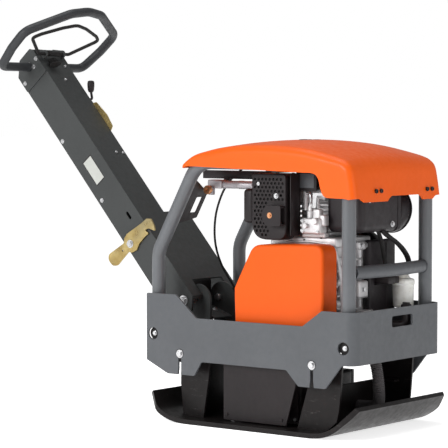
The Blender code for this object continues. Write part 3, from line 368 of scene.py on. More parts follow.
def prism(name, outline, plane, low, high):
    """A flat outline in a plane, drawn out between two distances along its normal."""
    bm = bmesh.new()
    shift = {"XZ": (0, 1, 0), "XY": (0, 0, 1), "YZ": (1, 0, 0)}[plane]
    caps = []
    for level in (low, high):
        base = Matrix.Translation(Vector(shift) * level) @ PLANES[plane]
        caps.append([bm.verts.new(base @ Vector((a, b, 0.0))) for a, b in outline])
    bm.faces.new(caps[0])
    bm.faces.new(caps[1][::-1])
    for k in range(len(outline)):
        n = (k + 1) % len(outline)
        bm.faces.new((caps[0][k], caps[0][n], caps[1][n], caps[1][k]))
    return from_bm(name, bm)


def rounded_prism(name, corners, radius, plane, low, high, steps=6):
    return prism(name, rounded_outline(corners, radius, steps), plane, low, high)


def arc(centre, radius, start, end, steps):
    return [(centre[0] + radius * math.cos(math.radians(start + (end - start) * k / steps)),
             centre[1] + radius * math.sin(math.radians(start + (end - start) * k / steps)))
            for k in range(steps + 1)]


def rounded_path(corners, radius, steps=10, closed=False):
    """Straight lines with their corners rounded, to one radius or to one each."""
    points = [Vector(corner) for corner in corners]
    count = len(points)
    path = []
    for i, here in enumerate(points):
        if not closed and i in (0, count - 1):
            path.append(here)
            continue
        back = points[i - 1] - here
        ahead = points[(i + 1) % count] - here
        half = back.angle(ahead) / 2
        bend = radius[i] if isinstance(radius, tuple) else radius
        reach = min(bend / math.tan(half), back.length * 0.49, ahead.length * 0.49)
        start = here + back.normalized() * reach
        end = here + ahead.normalized() * reach
        for k in range(steps + 1):
            t = k / steps
            path.append(start.lerp(here, t).lerp(here.lerp(end, t), t))
    return path


def rounded_outline(corners, radius, steps=6):
    return [(p.x, p.y) for p in rounded_path([(a, b, 0.0) for a, b in corners], radius, steps, closed=True)]


def spline(points, count):
    """Evenly spaced points on a smooth curve through the given points."""
    knots = [Vector(p) for p in points]
    knots = [2 * knots[0] - knots[1]] + knots + [2 * knots[-1] - knots[-2]]
    spans = len(knots) - 3
    path = []
    for i in range(count + 1):
        s = i / count * spans
        k = min(int(s), spans - 1)
        t = s - k
        a, b, c, d = knots[k:k + 4]
        path.append(0.5 * ((2 * b) + (c - a) * t + (2 * a - 5 * b + 4 * c - d) * t * t
                           + (3 * b - a - 3 * c + d) * t ** 3))
    return path


def sweep(name, path, radius, sides=20, closed=False):
    """A round bar along a path. The radius may be a function of the way along it."""
    points = [Vector(p) for p in path]
    count = len(points)
    bm = bmesh.new()
    rings = []
    normal = None
    for i, here in enumerate(points):
        if closed:
            run = (points[(i + 1) % count] - points[i - 1]).normalized()
        else:
            run = (points[min(i + 1, count - 1)] - points[max(i - 1, 0)]).normalized()
        if normal is None:
            normal = run.orthogonal().normalized()
        normal = (normal - run * normal.dot(run)).normalized()
        side = run.cross(normal)
        size = radius(i / (count - 1)) if callable(radius) else radius
        rings.append([bm.verts.new(here + size * (math.cos(math.tau * k / sides) * normal
                     + math.sin(math.tau * k / sides) * side)) for k in range(sides)])
    spans = list(zip(rings, rings[1:]))
    if closed:
        first, last = rings[0], rings[-1]
        turn = min(range(sides), key=lambda s: (first[s].co - last[0].co).length)
        spans.append((last, first[turn:] + first[:turn]))
    else:
        bm.faces.new(rings[0][::-1])
        bm.faces.new(rings[-1])
    for first, second in spans:
        for k in range(sides):
            n = (k + 1) % sides
            bm.faces.new((first[k], first[n], second[n], second[k]))
    return smooth(from_bm(name, bm), 50)


def joined(name, objects):
    """Several meshes as one piece, left as separate shells."""
    bm = bmesh.new()
    for obj in objects:
        bm.from_mesh(obj.data)
        bpy.data.objects.remove(obj, do_unlink=True)
    mesh = bpy.data.meshes.new(name)
    bm.to_mesh(mesh)
    bm.free()
    return link(name, mesh)


def piece(obj, look, *stands_for, body="upper_frame", slot=None):
    """Give a piece its material and let it ride on its body."""
    surface, own_slot = look
    obj.data.materials.clear()
    obj.data.materials.append(surface)
    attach(obj, body)
    if stands_for:
        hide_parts(*stands_for)
    return obj


def facing(axis):
    """Turns +Z towards a signed world axis such as -Y."""
    sign = -1 if axis.startswith("-") else 1
    return Vector([sign if axis[-1] == c else 0 for c in "XYZ"]).to_track_quat("Z", "Y").to_matrix().to_4x4(
        )


def stand(obj, place, axis):
    """Stand an object that points along +Z on a place, along a signed axis."""
    return move(obj, Matrix.Translation(place) @ facing(axis))


def fastener(name, size, kind="hex", washer=0.0):
    """A bolt head at the origin, standing up along +Z: a hexagon or a socket head."""
    parts = []
    base = 0.0
    if washer:
        parts.append(turned("w", [(washer, 0.0), (washer, size * 0.14), (washer * 0.96, size * 0.18)],
                            (0, 0, 0), "Z", 28))
        base = size * 0.18
    if kind == "hex":
        head = drum("h", (0, 0, base + size * 0.32), "Z", size, size * 0.64, 6)
        crown = turned("c", [(size * 0.86, base + size * 0.70), (size * 1.02, base + size * 0.54),
                             (size * 1.02, base - 0.001)], (0, 0, 0), "Z", 28)
        parts.append(smooth(common(head, crown), 25))
    else:
        head = turned("h", [(size * 0.80, base + size), (size * 0.96, base + size * 0.90),
                            (size, base + size * 0.75), (size, base)], (0, 0, 0), "Z", 28)
        parts.append(cut(head, drum("s", (0, 0, base + size * 0.8), "Z", size * 0.52, size * 0.9, 6)))
    return joined(name, parts)


HEADS = {}


def bolt_at(name, place, axis, size, kind="hex", washer=0.0, look=STEEL, turn=0.0, frame_of=None,
            stands_for=(), body="upper_frame"):
    """A copy of a fastener on a surface, pointing outwards along a signed axis."""
    key = (round(size, 5), kind, round(washer, 5))
    if key not in HEADS:
        HEADS[key] = fastener("head", size, kind, washer)
        HEADS[key].hide_render = True
    obj = link(name, HEADS[key].data.copy())
    matrix = (Matrix.Translation(place) @ facing(axis) @ Matrix.Rotation(math.radians(turn), 4, "Z"))
    move(obj, (frame_of @ matrix) if frame_of is not None else matrix)
    return piece(obj, look, *stands_for, body=body)


# ------------------------------------------------------------ places that pieces share
SIDES = ((-1, "right", "-Y"), (1, "left", "Y"))
BUFFERS = ((-0.247, "rear"), (0.230, "front"))
BUFFER_Z = 0.203
PLATE_TOP = 0.0143
POST_FRONT, POST_REAR = 0.335, -0.352
TUBE_FACE = 0.1767
PORT_Z = 0.257
BAR_Z = 0.465
RAIL_Z = 0.768
RAIL_REAR = -0.203
POST_BEND_Z = 0.500
DECK_TOP = 0.2663
PIVOT_X, PIVOT_Z = -0.322, 0.348
POLE_LEAN = math.radians(40.8)
CRANK_X, CRANK_Z = 0.130, 0.450
SHAFT_X, SHAFT_Z = 0.055, 0.082
BELT_Y = -0.166
CLUTCH_RADIUS, PULLEY_RADIUS = 0.058, 0.040
BELT_THICK = 0.009


# ------------------------------------------------------------ lower mass
def base_plate():
    """The iron plate with its turned-up ends, webs, buffer shelves and cross webs."""
    tail = spline([(-0.356, 0, 0.079), (-0.321, 0, 0.033), (-0.290, 0, 0.014), (-0.250, 0, 0.003),
                   (-0.209, 0, 0.0)], 24)
    nose = spline([(0.239, 0, 0.0), (0.285, 0, 0.006), (0.325, 0, 0.024), (0.358, 0, 0.050),
                   (0.389, 0, 0.085)], 24)
    under = [(p.x, p.z) for p in tail + nose]
    thick = 0.014
    upper = []
    for i, (x, z) in enumerate(under):
        run = (Vector(under[min(i + 1, len(under) - 1)]) - Vector(under[max(i - 1, 0)]))
        run.normalize()
        upper.append((x - run.y * thick, z + run.x * thick))
    half = 0.250
    plate = prism("plate", under + upper[::-1], "XZ", -half, half)
    plan = rounded_outline(
        [(-0.372, -0.216), (-0.322, -half), (0.350, -half), (0.395, -0.216), (0.395, 0.216), (0.350, half),
         (-0.322, half), (-0.372, 0.216)], 0.016, 5)
    common(plate, prism("plan", plan, "XY", -0.02, 0.14))
    soften(plate, 0.0022, 3, 28)
    parts = [plate]
    weld = thick - 0.002
    for side in (-1, 1):
        for x, end in BUFFERS:
            if end == "front":
                outline = [(x - 0.080, weld), (0.252, weld), (0.288, 0.042), (0.296, 0.080), (0.302, 0.150),
                           (0.306, 0.215), (0.290, 0.229)]
                tail_point = [(x - 0.046, 0.125)]
            else:
                outline = [(-0.268, 0.018), (-0.240, 0.012), (-0.209, weld), (-0.191, weld),
                           (-0.172, 0.130), (-0.165, 0.205), (-0.176, 0.222)]
                tail_point = [(x - 0.030, 0.110)]
            top = arc((x, BUFFER_Z), 0.030, 60, 165, 18)
            low, high = sorted((side * 0.178, side * 0.186))
            parts.append(soften(prism("web", outline + top + tail_point, "XZ", low, high), 0.0012, 2))
            low, high = sorted((side * 0.150, side * 0.180))
            parts.append(soften(block("shelf", (x - 0.03, low, 0.120), (x + 0.03, high, 0.127)), 0.0012, 2))
            start, length, steps = (x - 0.060, 0.10, 24) if end == "front" else (-0.209, 0.015, 8)
            bead = [(start + length * k / steps, side * 0.1775, weld + 0.0025) for k in range(steps + 1)]
            rng = random.Random(7)
            parts.append(sweep("bead", bead, lambda t: 0.0034 + 0.0008 * rng.random(), 12))
    wall = block("cross_web", (0.186, -0.179, weld), (0.194, 0.179, 0.125))
    cut(wall, drum("conduit_port", (0.190, 0.060, 0.056), "X", 0.022, 0.05, 40))
    parts.append(soften(wall, 0.0012, 2))
    parts.append(block("rear_cross_web", (-0.262, -0.179, 0.014), (-0.254, 0.179, 0.188), 0.0012, 2))
    piece(joined("base_plate_visual", parts), IRON, "base_plate", body="lower_mass")


def exciter_housing():
    housing = block("housing", (-0.125, -0.130, PLATE_TOP), (0.125, 0.130, 0.152), 0.010, 5)
    parts = [housing]
    for x in (-0.09, -0.03, 0.03, 0.09):
        parts.append(soften(block("rib", (x - 0.004, -0.126, 0.148), (x + 0.004, 0.126, 0.158)), 0.002, 3))
    cut(housing, block("hollow", (-0.117, -0.14, PLATE_TOP + 0.008), (0.117, 0.14, 0.144)))
    smooth(housing, 35)
    piece(joined("exciter_housing_visual", parts), IRON, "exciter_housing", slot="black_cast",
          body="lower_mass")


def exciter_covers():
    for side, hand, outward in SIDES:
        name = "exciter_cover_" + hand
        low, high = sorted((side * 0.1303, side * 0.1423))
        cover = block("cover", (-0.122, low, PLATE_TOP + 0.002), (0.122, high, 0.150))
        bosses = []
        for x in (-SHAFT_X, SHAFT_X):
            bosses.append(drum("boss", (x, side * 0.1400, SHAFT_Z), "Y", 0.036, 0.010, 40))
        join(cover, *bosses)
        if side < 0:
            cut(cover, drum("port", (SHAFT_X, -0.137, SHAFT_Z), "Y", 0.017, 0.05, 40))
        soften(cover, 0.0018, 3)
        piece(cover, BLACK, name, slot="black_cast", body="lower_mass")
        cover.name = name + "_visual"
        for i, (x, z) in enumerate(
                ((-0.112, 0.030), (-0.112, 0.140), (-0.04, 0.142), (0.04, 0.142), (0.112, 0.140),
                 (0.112, 0.030), (-0.04, 0.024), (0.04, 0.024))):
            bolt_at("%s_bolt_%d" % (name, i), (x, side * 0.1421, z), outward, 0.0055, turn=17 * i,
                    body="lower_mass")


def buffers():
    for side, hand, outward in SIDES:
        for x, end in BUFFERS:
            inner, outer = 0.1863, 0.2215
            height = outer - inner
            profile = [(0.0, 0.0), (0.0245, 0.0), (0.026, 0.0015), (0.0235, 0.006), (0.0222, height / 2),
                       (0.0235, height - 0.006), (0.026, height - 0.0015), (0.0245, height), (0.0, height)]
            pad = turned("pad", profile, (0, 0, 0), "Z", 56, 50)
            stand(pad, (x, side * inner, BUFFER_Z), outward)
            pad.name = "buffer_%s_%s_visual" % (end, hand)
            piece(pad, RUBBER, "buffer_%s_%s" % (end, hand), body="lower_mass")
            bolt_at("buffer_bolt_%s_%s_visual" % (end, hand), (x, side * 0.2272, BUFFER_Z), outward, 0.0090,
                    washer=0.0125, turn=11 + 23 * (x > 0), stands_for=("buffer_bolt_%s_%s" % (end, hand),))
            washer = turned("seat", [(0.0160, 0.0), (0.0160, 0.0022), (0.0150, 0.0030)], (0, 0, 0), "Z", 40)
            stand(washer, (x, side * 0.2220, BUFFER_Z), outward)
            washer.name = "buffer_seat_%s_%s" % (end, hand)
            piece(washer, DARK, slot="dark_paint")


def lower_belt_cover():
    cover = rounded_prism(
        "lower_belt_cover_visual", [(-0.105, 0.018), (0.121, 0.018), (0.155, 0.140), (0.158, 0.215),
                                    (-0.105, 0.215)], 0.004, "XZ", -0.200, -0.195)
    arm = block("arm", (-0.100, -0.196, 0.060), (-0.070, -0.1426, 0.110))
    join(cover, arm)
    soften(cover, 0.0010, 2)
    piece(cover, BLACK, "lower_belt_cover", body="lower_mass")
    for i, (x, z) in enumerate(((-0.092, 0.034), (0.106, 0.034))):
        bolt_at("lower_cover_bolt_%d" % i, (x, -0.200, z), "-Y", 0.0045, look=BLACK, turn=19 * i,
                body="lower_mass")


def travel_hose():
    route = spline([(0.264, 0.012, 0.232), (0.288, 0.003, 0.200), (0.300, 0.001, 0.160),
                    (0.301, 0.006, 0.115), (0.284, 0.028, 0.074), (0.238, 0.054, 0.057),
                    (0.180, 0.060, 0.056), (0.1255, 0.060, 0.056)], 640)
    hose = sweep("travel_hose_visual", route, lambda t: 0.0164 + 0.0013 * math.sin(t * 62 * math.tau), 28)
    hose.data.shade_smooth()
    piece(hose, CONDUIT, "travel_hose", body="lower_mass")
    collar = sweep("hose_collar", route[612:], 0.0192, 32)
    piece(collar, PLASTIC, body="lower_mass")


# ------------------------------------------------------------ upper frame
def guard_frame():
    half, thick = 0.2278, 0.006
    rear, front, bend = -0.3737, 0.3737, 0.032
    top = [(rear, 0.377), (-0.262, 0.377), (-0.1855, 0.311), (0.197, 0.311), (0.264, 0.358),
           (front + 0.02, 0.358)]
    bottom = [(front + 0.02, 0.209), (0.332, 0.209), (0.277, 0.140), (0.1835, 0.140), (0.141, 0.1836),
              (-0.1665, 0.1836), (-0.193, 0.1412), (-0.293, 0.1412), (rear, 0.1776)]
    bends = (0.004, 0.010, 0.012, 0.012, 0.010, 0.0, 0.0, 0.010, 0.010, 0.008, 0.010, 0.010, 0.008, 0.008,
             0.004)
    corners = [(x, 0.0, z) for x, z in top + bottom]
    outline = [(p.x, p.z) for p in rounded_path(corners, tuple(b + 1e-4 for b in bends), 5, True)]
    body = prism("guard_frame_visual", outline, "XZ", -half - 0.01, half + 0.01)
    outer = [(rear - 0.01, -half)]
    outer += arc((front - bend, -half + bend), bend, -90, 0, 18)
    outer += arc((front - bend, half - bend), bend, 0, 90, 18)
    outer += [(rear - 0.01, half), (rear - 0.01, half - thick)]
    inner = arc((front - bend, half - bend), bend - thick, 90, 0, 18)
    inner += arc((front - bend, -half + bend), bend - thick, 0, -90, 18)
    common(body, prism("plan", outer + inner + [(rear - 0.01, -half + thick)], "XY", 0.10, 0.42))
    tools = []
    for x, _ in BUFFERS:
        ring = arc((x, BUFFER_Z), 0.0142, -68, 248, 40)
        slot = [(x - 0.0053, 0.160), (x - 0.011, 0.120), (x + 0.011, 0.120), (x + 0.0053, 0.160)]
        tools.append(prism("keyhole", ring + slot, "XZ", -0.26, 0.26))
    for x in (0.337, -0.349):
        tools.append(drum("port", (x, 0, PORT_Z), "Y", 0.0182, 0.52, 48))
    window = rounded_path(
        [(0.0, -0.037, 0.3035), (0.0, 0.071, 0.3035), (0.0, 0.071, 0.3355), (0.0, -0.037, 0.3355)], 0.008,
        6, True)
    tools.append(prism("window", [(p.y, p.z) for p in window], "YZ", 0.34, 0.40))
    cut(body, *tools)
    soften(body, 0.0011, 2, 35)
    piece(body, GREY, "guard_frame")


def cage_tubes():
    for side, hand, outward in SIDES:
        y = side * 0.197
        path = rounded_path(
            [(POST_REAR, y, 0.235), (POST_REAR, y, POST_BEND_Z), (RAIL_REAR, y, RAIL_Z),
             (POST_FRONT, y, RAIL_Z), (POST_FRONT, y, 0.235)], (0, 0.090, 0.090, 0.060, 0), 18)
        tube = sweep("cage_tube_%s_visual" % hand, path, 0.020, 48)
        piece(tube, TUBE, "cage_tube_" + hand)
        for x, end in ((POST_FRONT, "front"), (POST_REAR, "rear")):
            seat = turned("seat", [(0.0170, 0.0), (0.0175, 0.0012)], (0, 0, 0), "Z", 40)
            stand(seat, (x + 0.002, side * 0.2168, PORT_Z), outward)
            seat.name = "post_seat_%s_%s" % (end, hand)
            piece(seat, RUBBER)
            bolt_at("post_bolt_%s_%s" % (end, hand), (x + 0.002, side * 0.2178, PORT_Z), outward, 0.0056,
                    "hex", 0.0074, turn=9)


def front_crossbar():
    bar = spline([(POST_FRONT, -TUBE_FACE, BAR_Z), (0.3435, -0.11, BAR_Z), (0.3505, -0.05, BAR_Z),
                  (0.3525, 0.0, BAR_Z), (0.3505, 0.05, BAR_Z), (0.3435, 0.11, BAR_Z),
                  (POST_FRONT, TUBE_FACE, BAR_Z)], 48)
    piece(sweep("front_crossbar_visual", bar, 0.0185, 44), GREY, "front_crossbar")
    for side in (-1, 1):
        rng = random.Random(11 + side)
        ring = [(POST_FRONT + 0.0192 * math.cos(a), side * (0.1775 + 0.0022 * abs(math.sin(a)) ** 0.5),
                 BAR_Z + 0.0192 * math.sin(a)) for a in [math.tau * k / 72 for k in range(72)]]
        bead = sweep("crossbar_weld_%s" % ("right" if side < 0 else "left"), ring,
                     lambda t: 0.0019 + 0.0005 * rng.random(), 8, True)
        piece(bead, GREY)


def lifting_eye():
    rail = drum("rail", (0.060, 0, 0.754), "Y", 0.014, 2 * TUBE_FACE, 40)
    loop = sweep("loop", rounded_path([(0.060, -0.030, 0.750), (0.060, -0.030, 0.829),
                                       (0.060, 0.030, 0.829), (0.060, 0.030, 0.750)], 0.028, 14), 0.006, 24)
    piece(joined("lifting_eye_visual", [rail, loop]), DARK, "lifting_eye")


def catch_plate():
    lean = math.atan2(RAIL_REAR - POST_REAR, RAIL_Z - POST_BEND_Z)
    inner = -TUBE_FACE
    plate = rounded_prism(
        "catch_plate_visual", [(inner, 0.100), (-0.097, 0.118), (-0.097, 0.205), (inner, 0.250)], 0.005,
        "YZ", 0.004, 0.009)
    cut(plate, rounded_prism("slot", [(-0.140, 0.135), (-0.112, 0.135), (-0.112, 0.190), (-0.140, 0.190)],
                             0.005, "YZ", -0.01, 0.03))
    soften(plate, 0.0008, 2)
    move(plate, Matrix.Translation((POST_REAR, 0, POST_BEND_Z)) @ Matrix.Rotation(lean, 4, "Y"))
    piece(plate, BLACK, "catch_plate", slot="dark_paint")


def engine_deck():
    deck = block("engine_deck_visual", (-0.345, -0.2215, 0.258), (0.300, 0.2215, 0.266))
    tools = [block("slot", (-0.060, -0.23, 0.2), (0.235, -0.135, 0.3))]
    for side in (-1, 1):
        low, high = sorted((side * 0.170, side * 0.25))
        tools.append(block("relief", (-0.40, low, 0.2), (-0.325, high, 0.3)))
    cut(deck, *tools)
    soften(deck, 0.0010, 2)
    piece(deck, DARK, "engine_deck")


def pivot_bracket():
    foot = DECK_TOP
    bracket = block("pivot_bracket_visual", (-0.341, -0.066, foot), (-0.261, 0.066, foot + 0.008))
    ears = []
    for side in (-1, 1):
        low, high = sorted((side * 0.056, side * 0.064))
        outline = [(-0.262, foot + 0.001), (-0.262, 0.348)]
        outline += arc((-0.310, 0.348), 0.048, 0, 180, 30)[1:-1]
        outline += [(-0.358, 0.348), (-0.340, foot + 0.001)]
        ears.append(prism("ear", outline, "XZ", low, high))
    join(bracket, *ears)
    cut(bracket, drum("bore", (PIVOT_X, 0, PIVOT_Z), "Y", 0.0068, 0.30, 32))
    tab = block("tab", (-0.040, -0.045, -0.003), (0.040, 0.045, 0.003), 0.0012, 2)
    tilt = Matrix.Translation((-0.300, 0.0, 0.306)) @ Matrix.Rotation(math.radians(20), 4, "Y")
    move(tab, tilt)
    legs = [block("leg", (-0.300, side * 0.030 - 0.003, foot + 0.004),
                  (-0.280, side * 0.030 + 0.003, 0.304)) for side in (-1, 1)]
    soften(bracket, 0.0010, 2)
    piece(joined("pivot_bracket_visual", [bracket, tab] + legs), DARK, "pivot_bracket")
    # Painted shade: a black sheet behind the pivot ears that stands for the shade inside the yoke and
    # closes the view through the yoke's notch.
    back = rounded_prism(
        "pivot_painted_shade_sheet", [(-0.0555, foot + 0.0085), (0.0555, foot + 0.0085), (0.0555, 0.398),
                             (0.040, 0.411), (-0.040, 0.411), (-0.0555, 0.398)], 0.004, "YZ", -0.356,
        -0.352)
    piece(soften(back, 0.0008, 2), BLACK, slot="black_paint")
    for i, y in enumerate((-0.022, 0.022)):
        bolt_at("stop_plate_bolt_%d" % i, (-0.012, y, 0.003), "Z", 0.0060, washer=0.009, frame_of=tilt)


def pivot_bolts():
    for side, hand, outward in SIDES:
        face = side * 0.1173
        head = fastener("pivot_head", 0.0115, "hex", 0.0165)
        stand(head, (PIVOT_X, face, PIVOT_Z), outward)
        sleeve = turned("sleeve", [(0.0095, -0.0225), (0.0105, -0.0215), (0.0105, 0.0215),
                                   (0.0095, 0.0225)], (PIVOT_X, side * 0.0870, PIVOT_Z), "Y", 36)
        shank = drum("shank", (PIVOT_X, side * 0.0830, PIVOT_Z), "Y", 0.0063, 0.070, 24)
        nut = drum("nut", (PIVOT_X, side * 0.0500, PIVOT_Z), "Y", 0.0115, 0.011, 6, bevel=0.001)
        piece(joined("pivot_bolt_%s_visual" % hand, [head, sleeve, shank, nut]), STEEL,
              "pivot_bolt_" + hand)


# The hood's lines along its length as (x, z): middle of the crown, edge of the crown and lower
# edge of the skirt. ROUND is the radius between crown and skirt at the same stations.
CENTRE = [(-0.239, 0.752), (-0.236, 0.765), (-0.205, 0.789), (-0.160, 0.806), (-0.110, 0.819),
          (-0.050, 0.829), (0.040, 0.834), (0.130, 0.833), (0.210, 0.826), (0.280, 0.812), (0.328, 0.795),
          (0.352, 0.779), (0.364, 0.756), (0.370, 0.715), (0.375, 0.671)]
EDGE = [(-0.239, 0.752), (-0.234, 0.764), (-0.200, 0.788), (-0.154, 0.801), (-0.105, 0.810),
        (-0.048, 0.8155), (0.040, 0.818), (0.128, 0.8145), (0.205, 0.807), (0.272, 0.794), (0.320, 0.783),
        (0.343, 0.772), (0.358, 0.754), (0.367, 0.713), (0.373, 0.671)]
SKIRT = [(-0.2345, 0.7502), (-0.2275, 0.7555), (-0.200, 0.7562), (-0.154, 0.7548), (-0.105, 0.7533),
         (-0.048, 0.7515), (0.040, 0.749), (0.120, 0.7465), (0.190, 0.7445), (0.232, 0.7425),
         (0.250, 0.728), (0.258, 0.700), (0.272, 0.678), (0.306, 0.6745), (0.336, 0.674)]
ROUND = [0.0025, 0.005, 0.013, 0.019, 0.021, 0.022, 0.022, 0.022, 0.022, 0.022, 0.021, 0.020, 0.020, 0.020,
         0.020]


PORT_X, PORT_LONG, PORT_WIDE = 0.060, 0.022, 0.048     # the eye port in the hood's top


def front_lip(y):
    """Height of the hood's front lower edge: two lobes with a notch between them."""
    def ramp(value, start, end):
        t = min(max((value - start) / (end - start), 0.0), 1.0)
        return t * t * (3 - 2 * t)
    near = ramp(y, -0.196, -0.176) * (1 - ramp(y, -0.064, -0.044))
    far = ramp(y, 0.106, 0.126) * (1 - ramp(y, 0.174, 0.194))
    notch = ramp(y, -0.064, -0.044) * (1 - ramp(y, 0.106, 0.126))
    return 0.674 - 0.011 * (near + far) + 0.004 * notch


def hood():
    """The hood's skin, lofted from the lines of its middle, its edges and its skirts."""
    half, count, thick = 0.227, 140, 0.005
    middle = spline([(x, 0, z) for x, z in CENTRE], count)
    edge = spline([(x, 0, z) for x, z in EDGE], count)
    skirt = spline([(x, 0, z) for x, z in SKIRT], count)
    bends = [p.x for p in spline([(r, 0, 0) for r in ROUND], count)]
    bm = bmesh.new()
    rows = []
    for s in range(count + 1):
        run = (edge[min(s + 1, count)] - edge[max(s - 1, 0)]).normalized()
        out = Vector((-run.z, 0.0, run.x))
        bend = bends[s]
        row = []

        def place(y, depth):
            t = min(abs(y) / half, 1.0)
            base = middle[s].lerp(edge[s], t * t)
            point = base - out * depth
            end = max(0.0, (s / count - 12.2 / 14) / (1.8 / 14))
            drop = (0.671 - front_lip(y)) * min(end, 1.0) ** 2
            return Vector((point.x, y, point.z - drop))

        for side in (-1, 1):
            side_part = []
            wall = place(side * half, bend)
            for k in range(7):
                p = skirt[s].lerp(wall, k / 7)
                side_part.append(Vector((p.x, side * half, p.z)))
            for k in range(9):
                a = math.pi / 2 * (1 - k / 8)
                side_part.append(place(side * (half - bend + bend * math.sin(a)),
                                       bend - bend * math.cos(a)))
            if side < 0:
                row += side_part
                flat = half - bend
                row += [place(flat * (k / 20 - 1), 0.0) for k in range(1, 40)]
            else:
                row += side_part[::-1]
        rows.append([bm.verts.new(p) for p in row])
    for first, second in zip(rows, rows[1:]):
        for k in range(len(first) - 1):
            bm.faces.new((first[k], first[k + 1], second[k + 1], second[k]))
    inside = []
    for face in bm.faces:
        x, y, z = face.calc_center_median()
        if z > 0.8 and ((x - PORT_X) / PORT_LONG) ** 2 + (y / PORT_WIDE) ** 2 < 1.0:
            inside.append(face)
    bmesh.ops.delete(bm, geom=inside, context="FACES")
    for vert in [v for v in bm.verts if v.is_boundary and v.co.z > 0.8 and abs(v.co.y) < 0.07
                 and abs(v.co.x - PORT_X) < 0.05]:
        a = math.atan2(vert.co.y / PORT_WIDE, (vert.co.x - PORT_X) / PORT_LONG)
        vert.co.x, vert.co.y = PORT_X + PORT_LONG * math.cos(a), PORT_WIDE * math.sin(a)
    mesh = bpy.data.meshes.new("hood_visual")
    bm.to_mesh(mesh)
    bm.free()
    shell = link("hood_visual", mesh)
    centre_face = min(mesh.polygons, key=lambda f: (f.center - Vector((0.04, 0, 0.834))).length)
    if centre_face.normal.z < 0:
        mesh.flip_normals()
    wall = shell.modifiers.new("wall", "SOLIDIFY")
    wall.thickness = thick
    wall.offset = -1.0
    wall.use_even_offset = False
    bake(shell)
    smooth(shell, 38)
    piece(shell, ORANGE_SHELL, "hood")


def hood_port_rim():
    ring = []
    for k in range(72):
        a = math.tau * k / 72
        y = 0.0495 * math.sin(a)
        ring.append((PORT_X + 0.0235 * math.cos(a), y, 0.8332 - 0.010 * (y / 0.1) ** 2))
    rim = sweep("hood_port_rim", ring, 0.0018, 10, True)
    piece(rim, PLASTIC)


def hood_screws():
    for i, (y, z) in enumerate(((-0.119, 0.693), (-0.094, 0.693), (0.146, 0.692), (0.172, 0.692))):
        bolt_at("hood_screw_%d" % i, (0.3715, y, z), "X", 0.0062, "socket", 0.0, BLACK)


def belt_guard():
    outline = rounded_outline(
        [(-0.066, 0.300), (-0.069, 0.405), (-0.028, 0.482), (0.000, 0.533), (0.180, 0.5395), (0.248, 0.540),
         (0.248, 0.300)], (0.004, 0.030, 0.060, 0.045, 0.05, 0.052, 0.004), 12)
    shell = prism("belt_guard_visual", outline, "XZ", -0.200, -0.132)
    bm = bmesh.new()
    bm.from_mesh(shell.data)
    rim = [e for e in bm.edges if all(abs(v.co.y + 0.200) < 1e-5 for v in e.verts)
           and min(v.co.z for v in e.verts) > 0.301]
    bmesh.ops.bevel(bm, geom=rim, offset=0.010, segments=6, profile=0.5, affect="EDGES")
    bm.to_mesh(shell.data)
    bm.free()
    inner = rounded_outline(
        [(-0.062, 0.290), (-0.065, 0.404), (-0.024, 0.480), (0.003, 0.529), (0.180, 0.5355), (0.244, 0.536),
         (0.244, 0.290)], (0.004, 0.030, 0.060, 0.045, 0.05, 0.048, 0.004), 12)
    cut(shell, prism("hollow", inner, "XZ", -0.196, -0.110))
    smooth(shell, 38)
    piece(shell, ORANGE, "belt_guard")


# ------------------------------------------------------------ engine
BOSS_HEIGHT = 0.013
CASE_BOSSES = (     # x, z, radius and y of each boss on the crankcase's near side
    (0.206, 0.515, 0.013, -0.100), (0.222, 0.488, 0.012, -0.092), (0.206, 0.456, 0.014, -0.100),
    (0.225, 0.428, 0.011, -0.090), (0.210, 0.398, 0.013, -0.100), (0.222, 0.366, 0.012, -0.092),
    (0.208, 0.336, 0.013, -0.100), (0.016, 0.505, 0.013, -0.100), (0.018, 0.455, 0.012, -0.100),
    (0.018, 0.400, 0.012, -0.100), (0.018, 0.345, 0.012, -0.100))


